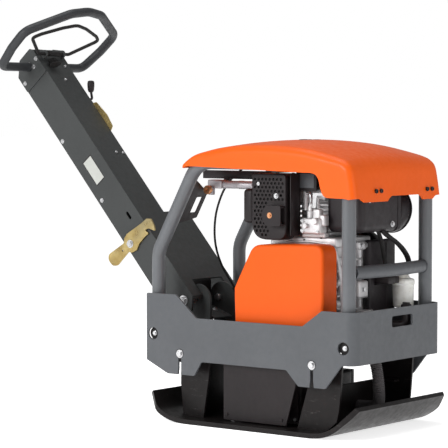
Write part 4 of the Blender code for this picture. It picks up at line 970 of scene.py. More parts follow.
def crankcase():
    """The cast block with its bosses, webs, oil passage, gasket line and front lumps."""
    case = block("case", (0.005, -0.100, DECK_TOP), (0.212, 0.070, 0.555), 0.012, 4)
    nose = turned("nose", [(0.044, -0.015), (0.050, -0.010), (0.053, 0.015)], (CRANK_X, -0.110, CRANK_Z),
                  "Y", 56)
    nose_ring = turned(
        "ring", [(0.060, -0.004), (0.064, 0.0), (0.064, 0.006)], (CRANK_X, -0.104, CRANK_Z), "Y", 56)
    box = block("front", (0.200, 0.000, 0.330), (0.238, 0.066, 0.540), 0.008, 4)
    shelf = block("deck", (0.003, -0.118, 0.528), (0.236, 0.060, 0.556), 0.006, 3)
    parts = []
    for x, z, r, y in CASE_BOSSES:
        parts.append(turned("boss", [(r * 0.82, -BOSS_HEIGHT), (r, -0.009), (r * 1.15, 0.016)], (x, y, z),
                            "Y", 30))
    for i in range(5):
        z = 0.350 + i * 0.036
        parts.append(block("web", (0.198, -0.1045, z), (0.2330, -0.078, z + 0.006), 0.0025, 3))
        parts.append(block("web", (0.2110, -0.080, z - 0.006), (0.2395, 0.052, z + 0.001), 0.003, 3))
    for x in (0.040, 0.075, 0.110, 0.150):
        parts.append(block("web", (x, -0.108, 0.420), (x + 0.006, -0.098, 0.530), 0.0025, 3))
    parts.append(sweep("passage", spline([(0.190, -0.104, 0.545), (0.216, -0.106, 0.530),
                                          (0.226, -0.100, 0.495), (0.232, -0.090, 0.440),
                                          (0.230, -0.085, 0.380), (0.228, -0.084, 0.330)], 40), 0.0085, 18))
    parts.append(sweep("gasket", spline([(0.040, -0.116, 0.548), (0.090, -0.1175, 0.541),
                                         (0.140, -0.1175, 0.544), (0.200, -0.116, 0.539),
                                         (0.231, -0.110, 0.541)], 40), 0.0042, 12))
    for low, high in (((0.232, -0.024, 0.518), (0.252, 0.016, 0.542)),
                      ((0.236, -0.058, 0.448), (0.250, -0.030, 0.486)),
                      ((0.236, -0.040, 0.380), (0.262, 0.010, 0.430)),
                      ((0.236, -0.020, 0.300), (0.268, 0.030, 0.345)),
                      ((0.212, -0.095, 0.270), (0.262, 0.010, 0.302))):
        parts.append(block("lump", low, high, 0.006, 4))
    foot = block("foot", (-0.020, -0.095, DECK_TOP), (0.235, 0.065, DECK_TOP + 0.014), 0.003, 3)
    arm = block("arm", (0.230, 0.040, 0.418), (0.310, 0.078, 0.440), 0.003, 3)
    clasp = block("clasp", (0.285, 0.070, 0.419), (0.3095, 0.1000, 0.439), 0.003, 3)
    neck = sweep("neck", rounded_path([(0.343, 0.084, 0.3385), (0.343, 0.084, 0.300),
                                       (0.190, 0.040, 0.300)], 0.02, 10), 0.011, 28)
    for tool_owner in (case, nose):
        cut(tool_owner, drum("bore", (CRANK_X, 0, CRANK_Z), "Y", 0.0158, 0.40, 40))
    parts += [case, nose, nose_ring, box, shelf, foot]
    piece(joined("filter_stay", [arm, clasp]), BLACK, slot="black_cast")
    piece(neck, BLACK, slot="black_cast").name = "oil_neck"
    cut(nose_ring, drum("bore", (CRANK_X, -0.1, CRANK_Z), "Y", 0.050, 0.1, 56))
    piece(joined("crankcase_visual", parts), CAST, "crankcase")


def case_bolts():
    rng = random.Random(5)
    for i, (x, z, _, y) in enumerate(CASE_BOSSES):
        bolt_at("case_bolt_%d" % i, (x, y - BOSS_HEIGHT, z), "-Y", 0.0058, turn=60 * rng.random())
    for i, (x, y, z) in enumerate(
            ((0.2520, -0.012, 0.530), (0.2520, 0.008, 0.531), (0.2500, -0.044, 0.466),
             (0.2615, -0.015, 0.405), (0.2675, 0.006, 0.322), (0.2675, 0.020, 0.308),
             (0.2615, -0.020, 0.288))):
        bolt_at("case_front_bolt_%d" % i, (x, y, z), "X", 0.0066, washer=0.0085, turn=60 * rng.random())


def fuel_unions_and_plugs():
    for i, x in enumerate((0.129, 0.168)):
        plug = turned("plug", [(0.0048, 0.013), (0.0060, 0.011), (0.0060, 0.006), (0.0092, 0.006),
                               (0.0092, 0.0)], (0, 0, 0), "Z", 24)
        hexagon = drum("hexagon", (0, 0, 0.003), "Z", 0.0106, 0.006, 6)
        fitting = joined("fuel_union_%d" % i, [plug, hexagon])
        stand(fitting, (x, -0.1180, 0.586 if i else 0.5855), "-Y")
        piece(fitting, BRASS)
    for i, (x, z) in enumerate(((0.100, 0.562), (0.146, 0.560), (0.126, 0.547), (0.185, 0.556))):
        bolt_at("deck_plug_%d" % i, (x, -0.1185, z), "-Y", 0.0030, "socket", look=BLACK)


def crankshaft():
    crank = turned("crankshaft_visual", [(0.0112, -0.151), (0.0125, -0.1497), (0.0125, -0.060),
                                         (0.0152, -0.059), (0.0152, 0.090), (0.0125, 0.091),
                                         (0.0125, 0.150), (0.0, 0.151)], (CRANK_X, -0.030, CRANK_Z), "Y",
                   40)
    piece(crank, STEEL, "crankshaft", body="crank")


def cylinder_and_head():
    jacket = block("jacket", (0.050, -0.062, 0.5553), (0.175, 0.058, 0.652), 0.006, 3)
    grooves = []
    for i in range(6):
        z = 0.567 + i * 0.014
        rim = block("groove", (0.0, -0.10, z), (0.25, 0.10, z + 0.007))
        core = block("core", (0.066, -0.048, z - 0.01), (0.159, 0.044, z + 0.02))
        grooves.append(cut(rim, core))
    cut(jacket, *grooves)
    jacket.name = "cylinder_visual"
    piece(smooth(jacket, 35), CAST, "cylinder")
    head = block("head", (0.044, -0.068, 0.6523), (0.182, 0.064, 0.700), 0.006, 4)
    extra = [block("flange", (0.100, -0.086, 0.660), (0.176, -0.060, 0.694), 0.005, 3),
             turned("injector", [(0.008, 0.030), (0.0095, 0.026), (0.0095, -0.028), (0.0, -0.030)],
                    (0.116, -0.096, 0.660), "Z", 28)]
    piece(joined("cylinder_head_visual", [head] + extra), CAST, "cylinder_head")


def rocker_cover():
    cover = block("cover", (0.056, -0.090, 0.7003), (0.176, 0.050, 0.736), 0.010, 5)
    rim = block("rim", (0.052, -0.093, 0.7003), (0.180, 0.053, 0.706), 0.003, 3)
    piece(joined("rocker_cover_visual", [cover, rim]), BLACK, "rocker_cover", slot="black_cast")
    for i, (x, y) in enumerate(((0.062, -0.085), (0.170, -0.085), (0.062, 0.044), (0.170, 0.044))):
        bolt_at("rocker_bolt_%d" % i, (x, y, 0.7355), "Z", 0.0052, turn=25 * i)


def control_shield():
    shield = block("control_shield", (0.094, -0.1160, 0.688), (0.166, -0.1120, 0.742), 0.0018, 3)
    stay = block("stay", (0.104, -0.1125, 0.706), (0.112, -0.088, 0.720), 0.001)
    piece(joined("control_shield", [shield, stay]), BLACK, slot="black_paint")
    plate = block("plain_plate", (0.100, -0.1172, 0.697), (0.158, -0.1158, 0.738), 0.0004, 2)
    piece(plate, GREY, slot="pale_plastic")


def fuel_tank():
    tank = block("fuel_tank_visual", (0.187, -0.100, 0.571), (0.312, 0.108, 0.722), 0.020, 8)
    filler = turned("filler", [(0.020, 0.011), (0.024, 0.007), (0.024, -0.004)], (0.250, -0.010, 0.7210),
                    "Z", 48)
    strap = soften(rounded_prism("strap", [(0.1855, 0.5695), (0.3135, 0.5695), (0.3135, 0.7235),
                                           (0.1855, 0.7235)], 0.0215, "XZ", 0.084, 0.100, 9), 0.001, 2)
    piece(joined("fuel_tank_visual", [tank, filler, strap]), PLASTIC, "fuel_tank")


def injection_pump():
    pump = block("pump", (0.128, -0.140, 0.566), (0.196, -0.104, 0.612), 0.006, 4)
    neck = turned("neck", [(0.011, -0.020), (0.011, 0.006), (0.0085, 0.008), (0.0085, 0.020)],
                  (0.150, -0.121, 0.625), "Z", 30)
    flange = block("flange", (0.120, -0.122, 0.5555), (0.200, -0.1005, 0.570), 0.003, 3)
    side_lump = [block("lump", (0.164, -0.134, 0.606), (0.190, -0.112, 0.638), 0.005, 3),
                 block("lump", (0.186, -0.132, 0.590), (0.206, -0.108, 0.622), 0.005, 3),
                 turned("cap", [(0.0085, -0.009), (0.0095, -0.007), (0.0095, 0.012)],
                        (0.182, -0.142, 0.604), "Y", 28), turned("cap",
                 [(0.0065, -0.008), (0.0075, -0.006), (0.0075, 0.010)], (0.150, -0.143, 0.590), "Y", 28)]
    piece(joined("injection_pump_visual", [pump, neck, flange] + side_lump), CAST, "injection_pump")
    for i, (x, z) in enumerate(((0.136, 0.604), (0.188, 0.574), (0.136, 0.574))):
        bolt_at("pump_bolt_%d" % i, (x, -0.1398, z), "-Y", 0.0052, turn=21 * i)


def injector_pipe():
    line = sweep("injector_pipe_visual", rounded_path([(0.150, -0.121, 0.6455), (0.150, -0.121, 0.685),
                 (0.118, -0.100, 0.685), (0.115, -0.0710, 0.685)], 0.018, 12), 0.0042, 20)
    nuts = [drum("nut", (0.150, -0.121, 0.6500), "Z", 0.0085, 0.012, 6, bevel=0.0008)]
    piece(joined("injector_pipe_visual", [line] + nuts), STEEL, "injector_pipe")


def governor():
    lever = rounded_prism(
        "governor_arm", [(0.160, 0.640), (0.172, 0.640), (0.176, 0.676), (0.196, 0.676), (0.196, 0.684),
                         (0.162, 0.684)], 0.003, "XZ", -0.128, -0.1255)
    piece(soften(lever, 0.0005, 2), STEEL)
    spring = [(0.184 + 0.0045 * math.cos(a), -0.132 + 0.0045 * math.sin(a),
               0.640 + 0.028 * a / (math.tau * 9)) for a in [math.tau * 9 * k / 240 for k in range(241)]]
    piece(sweep("governor_spring", spring, 0.0009, 8), STEEL)


def fan_housing():
    fan_profile = [(0.0, 0.060), (0.054, 0.060), (0.060, 0.0585), (0.106, 0.052), (0.126, 0.040),
                   (0.132, 0.030), (0.136, 0.004), (0.136, 0.000), (0.130, 0.000), (0.126, 0.026),
                   (0.102, 0.046), (0.056, 0.054), (0.0, 0.054)]
    fan = turned("fan", fan_profile, (CRANK_X, 0.098, CRANK_Z), "Y", 72)
    ribs = []
    for k in range(20):
        a = math.tau * k / 20
        rib = block("rib", (0.060, -0.0022, -0.004), (0.118, 0.0022, 0.004), 0.0015, 2)
        move(rib, Matrix.Translation((CRANK_X, 0.098, CRANK_Z)) @ AXES["Y"] @ Matrix.Rotation(a, 4, "Z")
             @ Matrix.Translation((0, 0, 0.0555)) @ Matrix.Rotation(math.radians(7), 4, "Y"))
        ribs.append(rib)
    duct = block("duct", (0.2388, 0.012, 0.316), (0.264, 0.150, 0.545), 0.009, 5)
    cut(duct, block("duct_slot", (0.22, 0.037, 0.415), (0.30, 0.081, 0.443)))
    smooth(duct, 40)
    for low, high in ((0.450, 0.535), (0.328, 0.408)):
        ribs.append(block("rib", (0.2625, 0.096, low), (0.2660, 0.102, high), 0.0015, 3))
    piece(joined("fan_housing_visual", [fan, duct] + ribs), PLASTIC, "fan_housing", slot="black_cast")
    for i in range(6):
        a = math.tau * (i + 0.4) / 6
        bolt_at("fan_bolt_%d" % i, (CRANK_X + 0.121 * math.cos(a), 0.1415, CRANK_Z + 0.121 * math.sin(a)),
                "Y", 0.0052, turn=17 * i)


def recoil_grip():
    grip = block("grip", (0.085, 0.1655, 0.505), (0.175, 0.1855, 0.525), 0.008, 6)
    stem = drum("stem", (0.130, 0.1640, 0.515), "Y", 0.005, 0.010, 24)
    piece(joined("recoil_grip_visual", [grip, stem]), PLASTIC, "recoil_grip", body="recoil")


def flywheel_and_pulleys():
    wheel = turned("flywheel_visual", [(0.014, 0.020), (0.020, 0.020), (0.094, 0.014), (0.104, 0.012),
                                       (0.104, -0.014), (0.014, -0.014), (0.014, 0.020)],
                   (CRANK_X, 0.100, CRANK_Z), "Y", 64)
    piece(wheel, STEEL, "flywheel", body="crank")
    for name, body, centre, radius in (
            ("clutch_pulley", "crank", (CRANK_X, BELT_Y, CRANK_Z), CLUTCH_RADIUS),
            ("exciter_pulley", "exciter_front", (SHAFT_X, BELT_Y, SHAFT_Z), PULLEY_RADIUS)):
        bore = 0.0128 if body == "crank" else 0.0158
        edge = radius + 0.011
        profile = [(bore, -0.014), (edge - 0.001, -0.014), (edge, -0.0130), (edge, -0.0118),
                   (radius, -0.0108), (radius, 0.0108), (edge, 0.0118), (edge, 0.0130),
                   (edge - 0.001, 0.014), (bore, 0.014), (bore, -0.014)]
        pulley = turned("pulley", profile, centre, "Y", 64)
        pulley.name = name + "_visual"
        piece(pulley, STEEL, name, body=body)


def air_cleaner():
    profile = [(0.0, 0.0485), (0.064, 0.0485), (0.070, 0.0455), (0.072, 0.040), (0.072, 0.012),
               (0.070, 0.004), (0.064, 0.0), (0.0, 0.0)]
    cleaner = turned("cleaner", profile, (0.238, 0.1115, 0.632), "Y", 80)
    duct = sweep("duct", rounded_path([(0.185, 0.135, 0.676), (0.120, 0.135, 0.676),
                                       (0.120, 0.0645, 0.676)], 0.02, 10), 0.0125, 28)
    piece(joined("air_cleaner_visual", [cleaner, duct]), PLASTIC, "air_cleaner")
    lid = turned("air_cleaner_lid_visual", [(0.050, 0.0142), (0.062, 0.0120), (0.070, 0.0080),
                                            (0.0728, 0.0030), (0.0730, 0.0)], (0.238, 0.1603, 0.632), "Y",
                 80)
    piece(lid, PLASTIC, "air_cleaner_lid")


def tank_bolts():
    bolt_at("tank_bolt", (0.3124, 0.056, 0.592), "X", 0.0062, washer=0.0090)
    bolt_at("tank_bolt_high", (0.3124, -0.060, 0.664), "X", 0.0048, washer=0.0075)


def fuel_hoses():
    for i, points in enumerate(
            ([(0.296, 0.030, 0.574), (0.306, 0.050, 0.556), (0.310, 0.090, 0.532), (0.310, 0.130, 0.500),
              (0.309, 0.148, 0.468), (0.306, 0.140, 0.440)],
             [(0.300, 0.020, 0.574), (0.308, 0.034, 0.560), (0.312, 0.076, 0.540), (0.314, 0.118, 0.512),
              (0.315, 0.142, 0.480), (0.312, 0.138, 0.442)],
             [(0.292, 0.012, 0.574), (0.290, 0.030, 0.548), (0.284, 0.052, 0.510), (0.280, 0.070, 0.474),
              (0.278, 0.086, 0.450), (0.286, 0.096, 0.440)])):
        piece(sweep("fuel_hose_%d" % i, spline(points, 60), 0.0062, 20), RUBBER)


def fuel_filter():
    cup_profile = [(0.0, 0.050), (0.014, 0.050), (0.017, 0.047), (0.020, 0.041), (0.030, 0.038),
                   (0.033, 0.034), (0.0335, 0.024), (0.0315, 0.021), (0.0300, -0.040), (0.0260, -0.045),
                   (0.0, -0.046)]
    cup = turned("fuel_filter_visual", cup_profile, (0.300, 0.134, 0.391), "Z", 56)
    tip = turned("tip", [(0.008, 0.0), (0.006, -0.012), (0.0, -0.013)], (0.300, 0.134, 0.346), "Z", 28)
    piece(joined("fuel_filter_visual", [cup, tip]), CLEAR, "fuel_filter")


def oil_filler_cap():
    cap = turned("oil_filler_cap_visual", [(0.012, 0.011), (0.0155, 0.008), (0.016, -0.010), (0.0, -0.011)],
                 (0.343, 0.084, 0.350), "Z", 40)
    tab = block("tab", (0.331, 0.081, 0.358), (0.355, 0.087, 0.366), 0.002, 3)
    piece(joined("oil_filler_cap_visual", [cap, tab]), PLASTIC, "oil_filler_cap")


def muffler():
    can = rounded_prism(
        "can", [(-0.012, 0.560), (0.086, 0.560), (0.086, 0.728), (-0.012, 0.728)],
        (0.044, 0.026, 0.016, 0.016), "XZ", -0.160, -0.104, 10)
    soften(can, 0.006, 4, 50)
    pipe = sweep("pipe", rounded_path([(0.020, -0.134, 0.670), (0.020, -0.060, 0.670),
                                       (0.0360, -0.044, 0.675)], 0.02, 10), 0.011, 24)
    piece(joined("muffler_visual", [can, pipe]), BLACK, "muffler", slot="black_paint")


def muffler_guard():
    guard = rounded_prism(
        "guard", [(-0.024, 0.547), (0.098, 0.547), (0.098, 0.738), (-0.024, 0.738)],
        (0.052, 0.032, 0.014, 0.014), "XZ", -0.172, -0.096, 12)
    soften(guard, 0.0045, 4, 50)
    hollow = rounded_prism(
        "hollow", [(-0.021, 0.550), (0.095, 0.550), (0.095, 0.735), (-0.021, 0.735)],
        (0.049, 0.029, 0.011, 0.011), "XZ", -0.169, -0.050, 12)
    cut(guard, hollow, block("deck_notch", (0.001, -0.1205, 0.540), (0.120, -0.050, 0.5575)))
    bm = bmesh.new()
    for row in range(15):
        for column in range(8):
            x = -0.0115 + column * 0.0132 + (row % 2) * 0.0066
            z = 0.5610 + row * 0.01145
            hidden = z < 0.655 and x > 0.036
            corner = Vector((x - 0.028, z - 0.599))
            if hidden or x > 0.0885 or (max(corner) < 0 and corner.length > 0.046):
                continue
            bmesh.ops.create_cone(
                bm, cap_ends=True, segments=10, radius1=0.0043, radius2=0.0043, depth=0.02,
                matrix=Matrix.Translation((x, -0.172, z)) @ AXES["Y"])
    cut(guard, from_bm("vents", bm))
    smooth(guard, 35)
    shield = block("shield", (-0.068, -0.158, 0.592), (-0.030, -0.106, 0.692), 0.012, 4)
    web = block("web", (-0.050, -0.124, 0.640), (-0.0220, -0.120, 0.680), 0.001)
    plate = block("plate", (0.0965, -0.124, 0.5753), (0.112, -0.120, 0.698), 0.001, 2)
    fin = block("fin", (0.108, -0.165, 0.560), (0.1115, -0.121, 0.738), 0.001, 2)
    piece(joined("muffler_guard_visual", [guard, shield, web, plate, fin]), BLACK, "muffler_guard")


def exhaust_outlet():
    outlet = rounded_prism(
        "outlet", [(0.034, 0.603), (0.048, 0.589), (0.098, 0.589), (0.098, 0.647), (0.048, 0.647),
                   (0.034, 0.633)], 0.006, "XZ", -0.198, -0.1723)
    cut(outlet, block("mouth", (0.046, -0.194, 0.595), (0.120, -0.1765, 0.641), 0.004, 3))
    soften(outlet, 0.0022, 3, 35)
    outlet.name = "exhaust_outlet_visual"
    piece(outlet, BLACK, "exhaust_outlet")


def exhaust_screws():
    bolt_at("outlet_screw", (0.060, -0.1979, 0.619), "-Y", 0.0052, washer=0.0085, look=BRASS, turn=13)
    bolt_at("guard_screw", (0.064, -0.1719, 0.674), "-Y", 0.0052, washer=0.0080, turn=22)
    bolt_at("guard_screw_high", (0.000, -0.1719, 0.708), "-Y", 0.0035, washer=0.0055, turn=5)
    bolt_at("fin_screw", (0.1030, -0.1240, 0.684), "-Y", 0.0052, washer=0.0080)


def control_block():
    anchor = block("anchor", (-0.236, -0.112, 0.688), (-0.182, -0.076, 0.714), 0.005, 4)
    cap = turned("cap", [(0.0085, -0.011), (0.010, -0.009), (0.010, 0.011)], (-0.218, -0.112, 0.680), "Z",
                 32)
    rod = turned("rod", [(0.0118, -0.065), (0.0118, -0.010), (0.0126, -0.008), (0.0126, 0.008),
                         (0.0118, 0.010), (0.0118, 0.065)], (-0.120, -0.094, 0.700), "X", 40)
    nut = drum("nut", (-0.066, -0.094, 0.700), "X", 0.014, 0.016, 6, bevel=0.0010)
    nut2 = drum("nut", (-0.054, -0.094, 0.700), "X", 0.011, 0.008, 6, bevel=0.0010)
    piece(joined("control_block_visual", [anchor, cap, rod, nut, nut2]), ALLOY, "control_block",
          slot="cast_aluminium")


def rod_bracket():
    beam = block("beam", (-0.285, -0.070, 0.716), (-0.020, -0.064, 0.741), 0.001, 2)
    strap = [block("strap", (x, -0.092, 0.706), (x + 0.018, -0.066, 0.7135), 0.001, 2)
             for x in (-0.205, -0.080)]
    riser = [block("riser", (x, -0.071, 0.7065), (x + 0.018, -0.064, 0.720), 0.001, 2)
             for x in (-0.205, -0.080)]
    piece(joined("rod_bracket", [beam] + strap + riser), BLACK, slot="black_paint")


def copper_union():
    ring = turned("ring", [(0.0045, -0.009), (0.012, -0.009), (0.0135, -0.007), (0.0135, 0.004),
                           (0.0100, 0.006), (0.0100, 0.011), (0.0045, 0.011), (0.0045, -0.009)],
                  (-0.2235, -0.121, 0.684), "Y", 36)
    hexagon = drum("hexagon", (-0.2235, -0.122, 0.684), "Y", 0.0098, 0.008, 6)
    piece(joined("copper_union", [ring, hexagon]), BRASS, slot="bare_steel")


def control_cable():
    cable = sweep("control_cable_visual", spline([(-0.161, -0.040, 0.744), (-0.200, -0.038, 0.716),
                  (-0.240, -0.033, 0.670), (-0.274, -0.022, 0.600), (-0.288, -0.006, 0.520),
                  (-0.284, 0.024, 0.445), (-0.264, 0.074, 0.360), (-0.260, 0.088, 0.300),
                  (-0.262, 0.090, 0.267)], 110), 0.0034, 16)
    piece(cable, RUBBER, "control_cable")


# ------------------------------------------------------------ pole and its controls
POLE = Matrix.Translation((PIVOT_X, 0.0, PIVOT_Z)) @ Matrix.Rotation(-POLE_LEAN, 4, "Y")
MIDDLE = -0.057
POLE_LOW, POLE_HIGH, POLE_HALF = -0.069, 0.036, 0.117
HEAD_U = 0.948


def on_pole(obj, name):
    move(obj, POLE)
    obj.name = name
    return obj


def pole():
    low, high = POLE_LOW, POLE_HIGH
    wall = 0.005
    half, top, end = POLE_HALF, 0.311, 0.955
    plan = [(-half, -0.042), (half, -0.042), (half, top), (0.003, top), (0.003, end), (-half, end)]
    beam = prism("beam", plan, "YZ", low, high)
    side = [(low - 0.01, -0.015), (low + 0.020, -0.040), (high - 0.030, -0.040), (high + 0.01, 0.0),
            (high + 0.01, 1.1), (low - 0.01, 1.1)]
    common(beam, prism("side", side, "XZ", -0.3, 0.3))
    slot = arc((0.0, 0.322), 0.0048, 180, 360, 16) + arc((0.0, 0.340), 0.0048, 0, 180, 16)
    cut(beam, block("yoke_hollow", (low - 0.02, 0.007 - half, -0.1),
                    (high - 0.007, half - 0.007, top - 0.008)),
        block("yoke_notch", (high - 0.02, -0.070, -0.1), (high + 0.02, 0.075, 0.050)),
        block("pole_hollow", (low + wall, -half + wall, 0.32), (high - wall, 0.003 - wall, 1.0)),
        drum("yoke_bore", (0, 0, 0), "Y", 0.0068, 0.40, 40),
        drum("loop_port", (-0.012, MIDDLE, 0.948), "Y", 0.0146, 0.4, 48),
        prism("keyhole", slot, "XZ", -0.130, -0.108))
    soften(beam, 0.0016, 3, 35)
    piece(on_pole(beam, "pole_visual"), DARK, "pole", body="pole")


def pole_bolts():
    for i, (u, n) in enumerate(((0.679, -0.063), (0.435, -0.058))):
        bolt_at("pole_side_bolt_%d" % i, (n + 0.004, -0.1170, u), "-Y", 0.0050, "hex", 0.0070,
                frame_of=POLE, turn=20 * i, body="pole")
    for i, (u, y) in enumerate(((0.909, -0.020), (0.853, -0.057), (0.552, -0.040), (0.549, -0.010))):
        bolt_at("pole_top_bolt_%d" % i, (0.036, y, u), "X", 0.0046, "socket", 0.0, frame_of=POLE,
                body="pole")


def plain_patch():
    patch = block("plain_patch", (-0.038, -0.1176, 0.484), (0.000, -0.1169, 0.570), 0.0004, 2)
    piece(on_pole(patch, "plain_patch"), PALE, body="pole")
    back = block("plain_patch_border", (-0.040, -0.11735, 0.481), (0.002, -0.1168, 0.573), 0.0003, 2)
    piece(on_pole(back, "plain_patch_border"), BLACK, slot="pale_plastic", body="pole")


def pole_head():
    low, high, half = POLE_LOW, POLE_HIGH, POLE_HALF
    outline = rounded_outline(
        [(low, 0.890), (high, 0.890), (high, 0.976), (high - 0.008, 0.990), (low + 0.040, 0.990),
         (low, 0.952)], 0.006)
    crown = prism("crown", outline, "XZ", -half - 0.0033, -half + 0.0010)
    extra = [prism("cheek", outline, "XZ", 0.0033, 0.0063)]
    ear = [(high - 0.030, 0.956), (high - 0.030, 0.986), (high - 0.004, 0.986)]
    ear += arc((0.052, 0.948), 0.0125, 60, -120, 24)
    ear += [(high + 0.002, 0.938), (high + 0.002, 0.956)]
    for y in (-0.100, -0.018):
        extra.append(prism("ear", ear, "XZ", y, y + 0.004))
    extra.append(block("cap", (low + 0.042, -half - 0.002, 0.984), (high - 0.009, 0.005, 0.9885)))
    join(crown, *extra)
    cut(crown, drum("port", (0.052, MIDDLE, 0.948), "Y", 0.0056, 0.4, 32),
        drum("port", (-0.012, MIDDLE, 0.948), "Y", 0.0146, 0.4, 48))
    soften(crown, 0.0007, 2, 35)
    piece(on_pole(crown, "pole_head_visual"), DARK, "pole_head", body="pole")


def pole_head_bolts():
    for i, (u, n) in enumerate(((0.948, 0.028), (0.935, 0.004), (0.919, -0.058))):
        bolt_at("head_bolt_%d" % i, (n, -0.1203, u), "-Y", 0.0050, "hex", 0.0070, frame_of=POLE,
                turn=31 * i, body="pole")
    for i, y in enumerate((-0.110, -0.004)):
        bolt_at("head_cap_bolt_%d" % i, (0.005, y, 0.9885), "Z", 0.0042, "socket", frame_of=POLE,
                body="pole")


def handle_loop():
    u = HEAD_U
    loop = [(-0.012, 0.188), (0.074, 0.208), (0.150, 0.211)]
    right = [(n, MIDDLE + y, u) for n, y in loop]
    left = [(n, MIDDLE - y, u) for n, y in reversed(loop)]
    top = [(0.237, MIDDLE + 0.070, u), (0.250, MIDDLE, u), (0.237, MIDDLE - 0.070, u)]
    bends = (0.030, 0.060, 0.045, 0.060, 0.090, 0.060, 0.045, 0.060, 0.030)
    ring = rounded_path(right + top + left, bends, 14, True)
    piece(on_pole(sweep("loop", ring, 0.014, 40, True), "handle_loop_visual"), HANDLE, "handle_loop",
          body="pole")


def travel_lever():
    u, n0 = HEAD_U, 0.052
    arm = [(n0, 0.0), (n0, 0.070), (0.122, 0.156), (0.141, 0.128), (0.172, 0.055)]
    upper = [(n, MIDDLE + y, u) for n, y in arm[1:]]
    lower = [(n, MIDDLE - y, u) for n, y in reversed(arm[1:])]
    bends = (0.016, 0.016, 0.018, 0.030, 0.060, 0.060, 0.060, 0.030, 0.018, 0.016)
    bail_path = rounded_path([(n0, MIDDLE, u)] + upper + [(0.187, MIDDLE, u)] + lower, bends, 10, True)
    bail = sweep("bail", bail_path, 0.0053, 24, True)
    hub = turned("hub", [(0.0068, -0.025), (0.0078, -0.0238), (0.0078, 0.0238), (0.0068, 0.025)],
                 (n0, MIDDLE, u), "Y", 36)
    piece(on_pole(joined("lever", [bail, hub]), "travel_lever_visual"), RUBBER, "travel_lever",
          body="travel_lever")


def lever_boot():
    profile = [(0.0, 0.030), (0.010, 0.030), (0.011, 0.028)]
    for k in range(5):
        z = 0.025 - k * 0.0055
        wide = 0.0135 + 0.0011 * k
        profile += [(wide, z), (wide + 0.0003, z - 0.0012), (wide - 0.0035, z - 0.0033)]
    profile += [(0.0185, 0.001), (0.0185, 0.0), (0.0, 0.0)]
    boot = turned("boot", profile, (0, 0, 0), "Z", 48, 60)
    move(boot, Matrix.Translation((0.036 + 0.0155, MIDDLE - 0.024, 0.903))
         @ Matrix.Diagonal((0.8, 1.25, 0.8, 1.0)))
    piece(on_pole(boot, "lever_boot_visual"), RUBBER, "lever_boot", body="pole")


def throttle():
    face = 0.0033
    outline = rounded_outline(
        [(0.030, 0.640), (0.050, 0.648), (0.056, 0.690), (0.048, 0.750), (0.020, 0.765), (0.000, 0.750),
         (0.000, 0.660)], 0.006)
    plate = soften(prism("plate", outline, "XZ", face, face + 0.003), 0.0005, 2)
    piece(on_pole(plate, "throttle_bracket_visual"), ZINC, "throttle_bracket", body="pole")
    lever = rounded_prism(
        "lever", [(0.006, 0.720), (0.030, 0.720), (0.034, 0.760), (0.030, 0.790), (0.018, 0.790),
                  (0.014, 0.760)], 0.004, "XZ", face + 0.0033, face + 0.0063)
    soften(lever, 0.0005, 2)
    stem = sweep("stem", rounded_path([(0.024, face + 0.005, 0.782), (0.024, face + 0.026, 0.782),
                                       (0.036, face + 0.028, 0.808)], 0.01, 8), 0.004, 20)
    knob = turned("knob", [(0.0, -0.019), (0.0070, -0.018), (0.0100, -0.012), (0.0112, 0.0),
                           (0.0115, 0.010), (0.0100, 0.017), (0.0060, 0.019), (0.0, 0.0195)], (0, 0, 0),
                  "Z", 36, 60)
    move(knob, Matrix.Translation((0.045, face + 0.028, 0.818)) @ Matrix.Rotation(POLE_LEAN, 4, "Y"))
    piece(on_pole(joined("lever", [lever, stem, knob]), "throttle_lever_visual"), PLASTIC, "throttle_lever",
          body="throttle")
    bolt_at("throttle_pivot", (0.018, face + 0.0063, 0.735), "Y", 0.0050, frame_of=POLE, body="throttle")


def latch():
    face = -0.1173
    outline = [(-0.138, 0.288), (-0.150, 0.276), (-0.149, 0.252), (-0.134, 0.240), (-0.070, 0.244),
               (-0.060, 0.233), (-0.040, 0.228), (-0.020, 0.236), (0.012, 0.238), (0.030, 0.236),
               (0.024, 0.254), (0.040, 0.248), (0.054, 0.226), (0.062, 0.240), (0.066, 0.264),
               (0.054, 0.276), (0.030, 0.278), (-0.040, 0.290), (-0.056, 0.286), (-0.068, 0.276)]
    bends = (0.018, 0.018, 0.018, 0.018) + (0.0035,) * (len(outline) - 4)
    hook = rounded_prism("hook", outline, bends, "XZ", face - 0.0062, face, 6)
    cut(hook, drum("bore", (-0.048, face, 0.258), "Y", 0.0055, 0.05, 32),
        drum("hole", (-0.086, face, 0.262), "Y", 0.0030, 0.05, 24))
    soften(hook, 0.0007, 2, 35)
    piece(on_pole(hook, "latch_hook_visual"), ZINC, "latch_hook", body="latch")
    bolt_at("latch_bolt_visual", (-0.048, face - 0.0063, 0.258), "-Y", 0.0090, washer=0.0125, frame_of=POLE,
            stands_for=("latch_bolt",), body="pole")


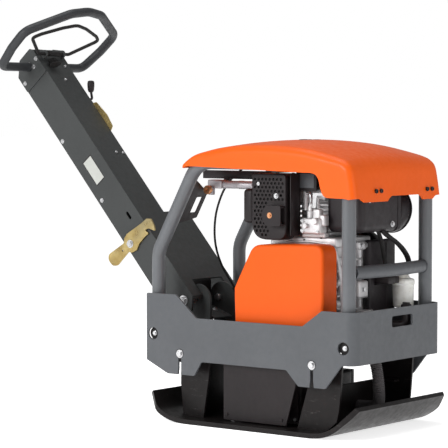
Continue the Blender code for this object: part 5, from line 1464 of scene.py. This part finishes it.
def belt():
    lower, upper = Vector((SHAFT_X, SHAFT_Z)), Vector((CRANK_X, CRANK_Z))
    span = upper - lower
    lean = math.degrees(math.atan2(span.y, span.x))
    swing = math.degrees(math.asin((CLUTCH_RADIUS - PULLEY_RADIUS) / span.length))
    start = lean + 90 + swing

    def ring(extra):
        return (arc(lower, PULLEY_RADIUS + extra, start, start + 180 - 2 * swing, 36)
                + arc(upper, CLUTCH_RADIUS + extra, lean - 90 - swing, lean + 90 + swing, 36))

    outer, inner = ring(BELT_THICK), ring(0.0006)
    bm = bmesh.new()
    rings = []
    for loop, half in ((inner, 0.0060), (outer, 0.0085), (outer, -0.0085), (inner, -0.0060)):
        rings.append([bm.verts.new((x, BELT_Y + half, z)) for x, z in loop])
    count = len(outer)
    for a in range(4):
        for k in range(count):
            n = (k + 1) % count
            bm.faces.new((rings[a][k], rings[a][n], rings[(a + 1) % 4][n], rings[(a + 1) % 4][k]))
    strap = smooth(from_bm("drive_belt_visual", bm), 35)
    piece(strap, RUBBER, "drive_belt", body="lower_mass")


for build in (base_plate, exciter_housing, exciter_covers, buffers, lower_belt_cover, travel_hose, belt,
              guard_frame, cage_tubes, front_crossbar, lifting_eye, catch_plate, engine_deck, pivot_bracket,
              pivot_bolts, hood, hood_port_rim, hood_screws, belt_guard, crankcase, case_bolts,
              fuel_unions_and_plugs, crankshaft, cylinder_and_head, rocker_cover, control_shield, fuel_tank,
              injection_pump, injector_pipe, governor, fan_housing, recoil_grip, flywheel_and_pulleys,
              air_cleaner, tank_bolts, fuel_hoses, fuel_filter, oil_filler_cap, muffler, muffler_guard,
              exhaust_outlet, exhaust_screws, control_block, rod_bracket, copper_union, control_cable, pole,
              pole_bolts, plain_patch, pole_head, pole_head_bolts, handle_loop, travel_lever, lever_boot,
              throttle, latch):
    build()

for made in HEADS.values():
    bpy.data.objects.remove(made, do_unlink=True)

KEPT = {"exciter_shaft_front": STEEL, "exciter_shaft_rear": STEEL}
for name, look in KEPT.items():
    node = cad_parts[name]
    node.data.materials.clear()
    node.data.materials.append(look[0])

# ------------------------------------------------------------ floor
floor_tone = Nodes("studio_floor")
cloud = floor_tone.noise(1.5, 3.0)
floor_tone.link(floor_tone.blend(floor_tone.spread(cloud, 0.0, 1.0), (0.90, 0.90, 0.90),
                                 (0.93, 0.93, 0.93)), floor_tone.shader.inputs["Base Color"])
floor_tone.shader.inputs["Roughness"].default_value = 0.9
floor_tone.shader.inputs["Specular IOR Level"].default_value = 0.1
floor_tone.shader.inputs["Emission Color"].default_value = (1.0, 1.0, 1.0, 1.0)
floor_tone.shader.inputs["Emission Strength"].default_value = 0.72
ground = bmesh.new()
bmesh.ops.create_grid(ground, x_segments=4, y_segments=4, size=60.0)
floor = from_bm("floor", ground)
floor.location = (0.0, 0.0, -0.0005)
floor.data.materials.append(floor_tone.material)
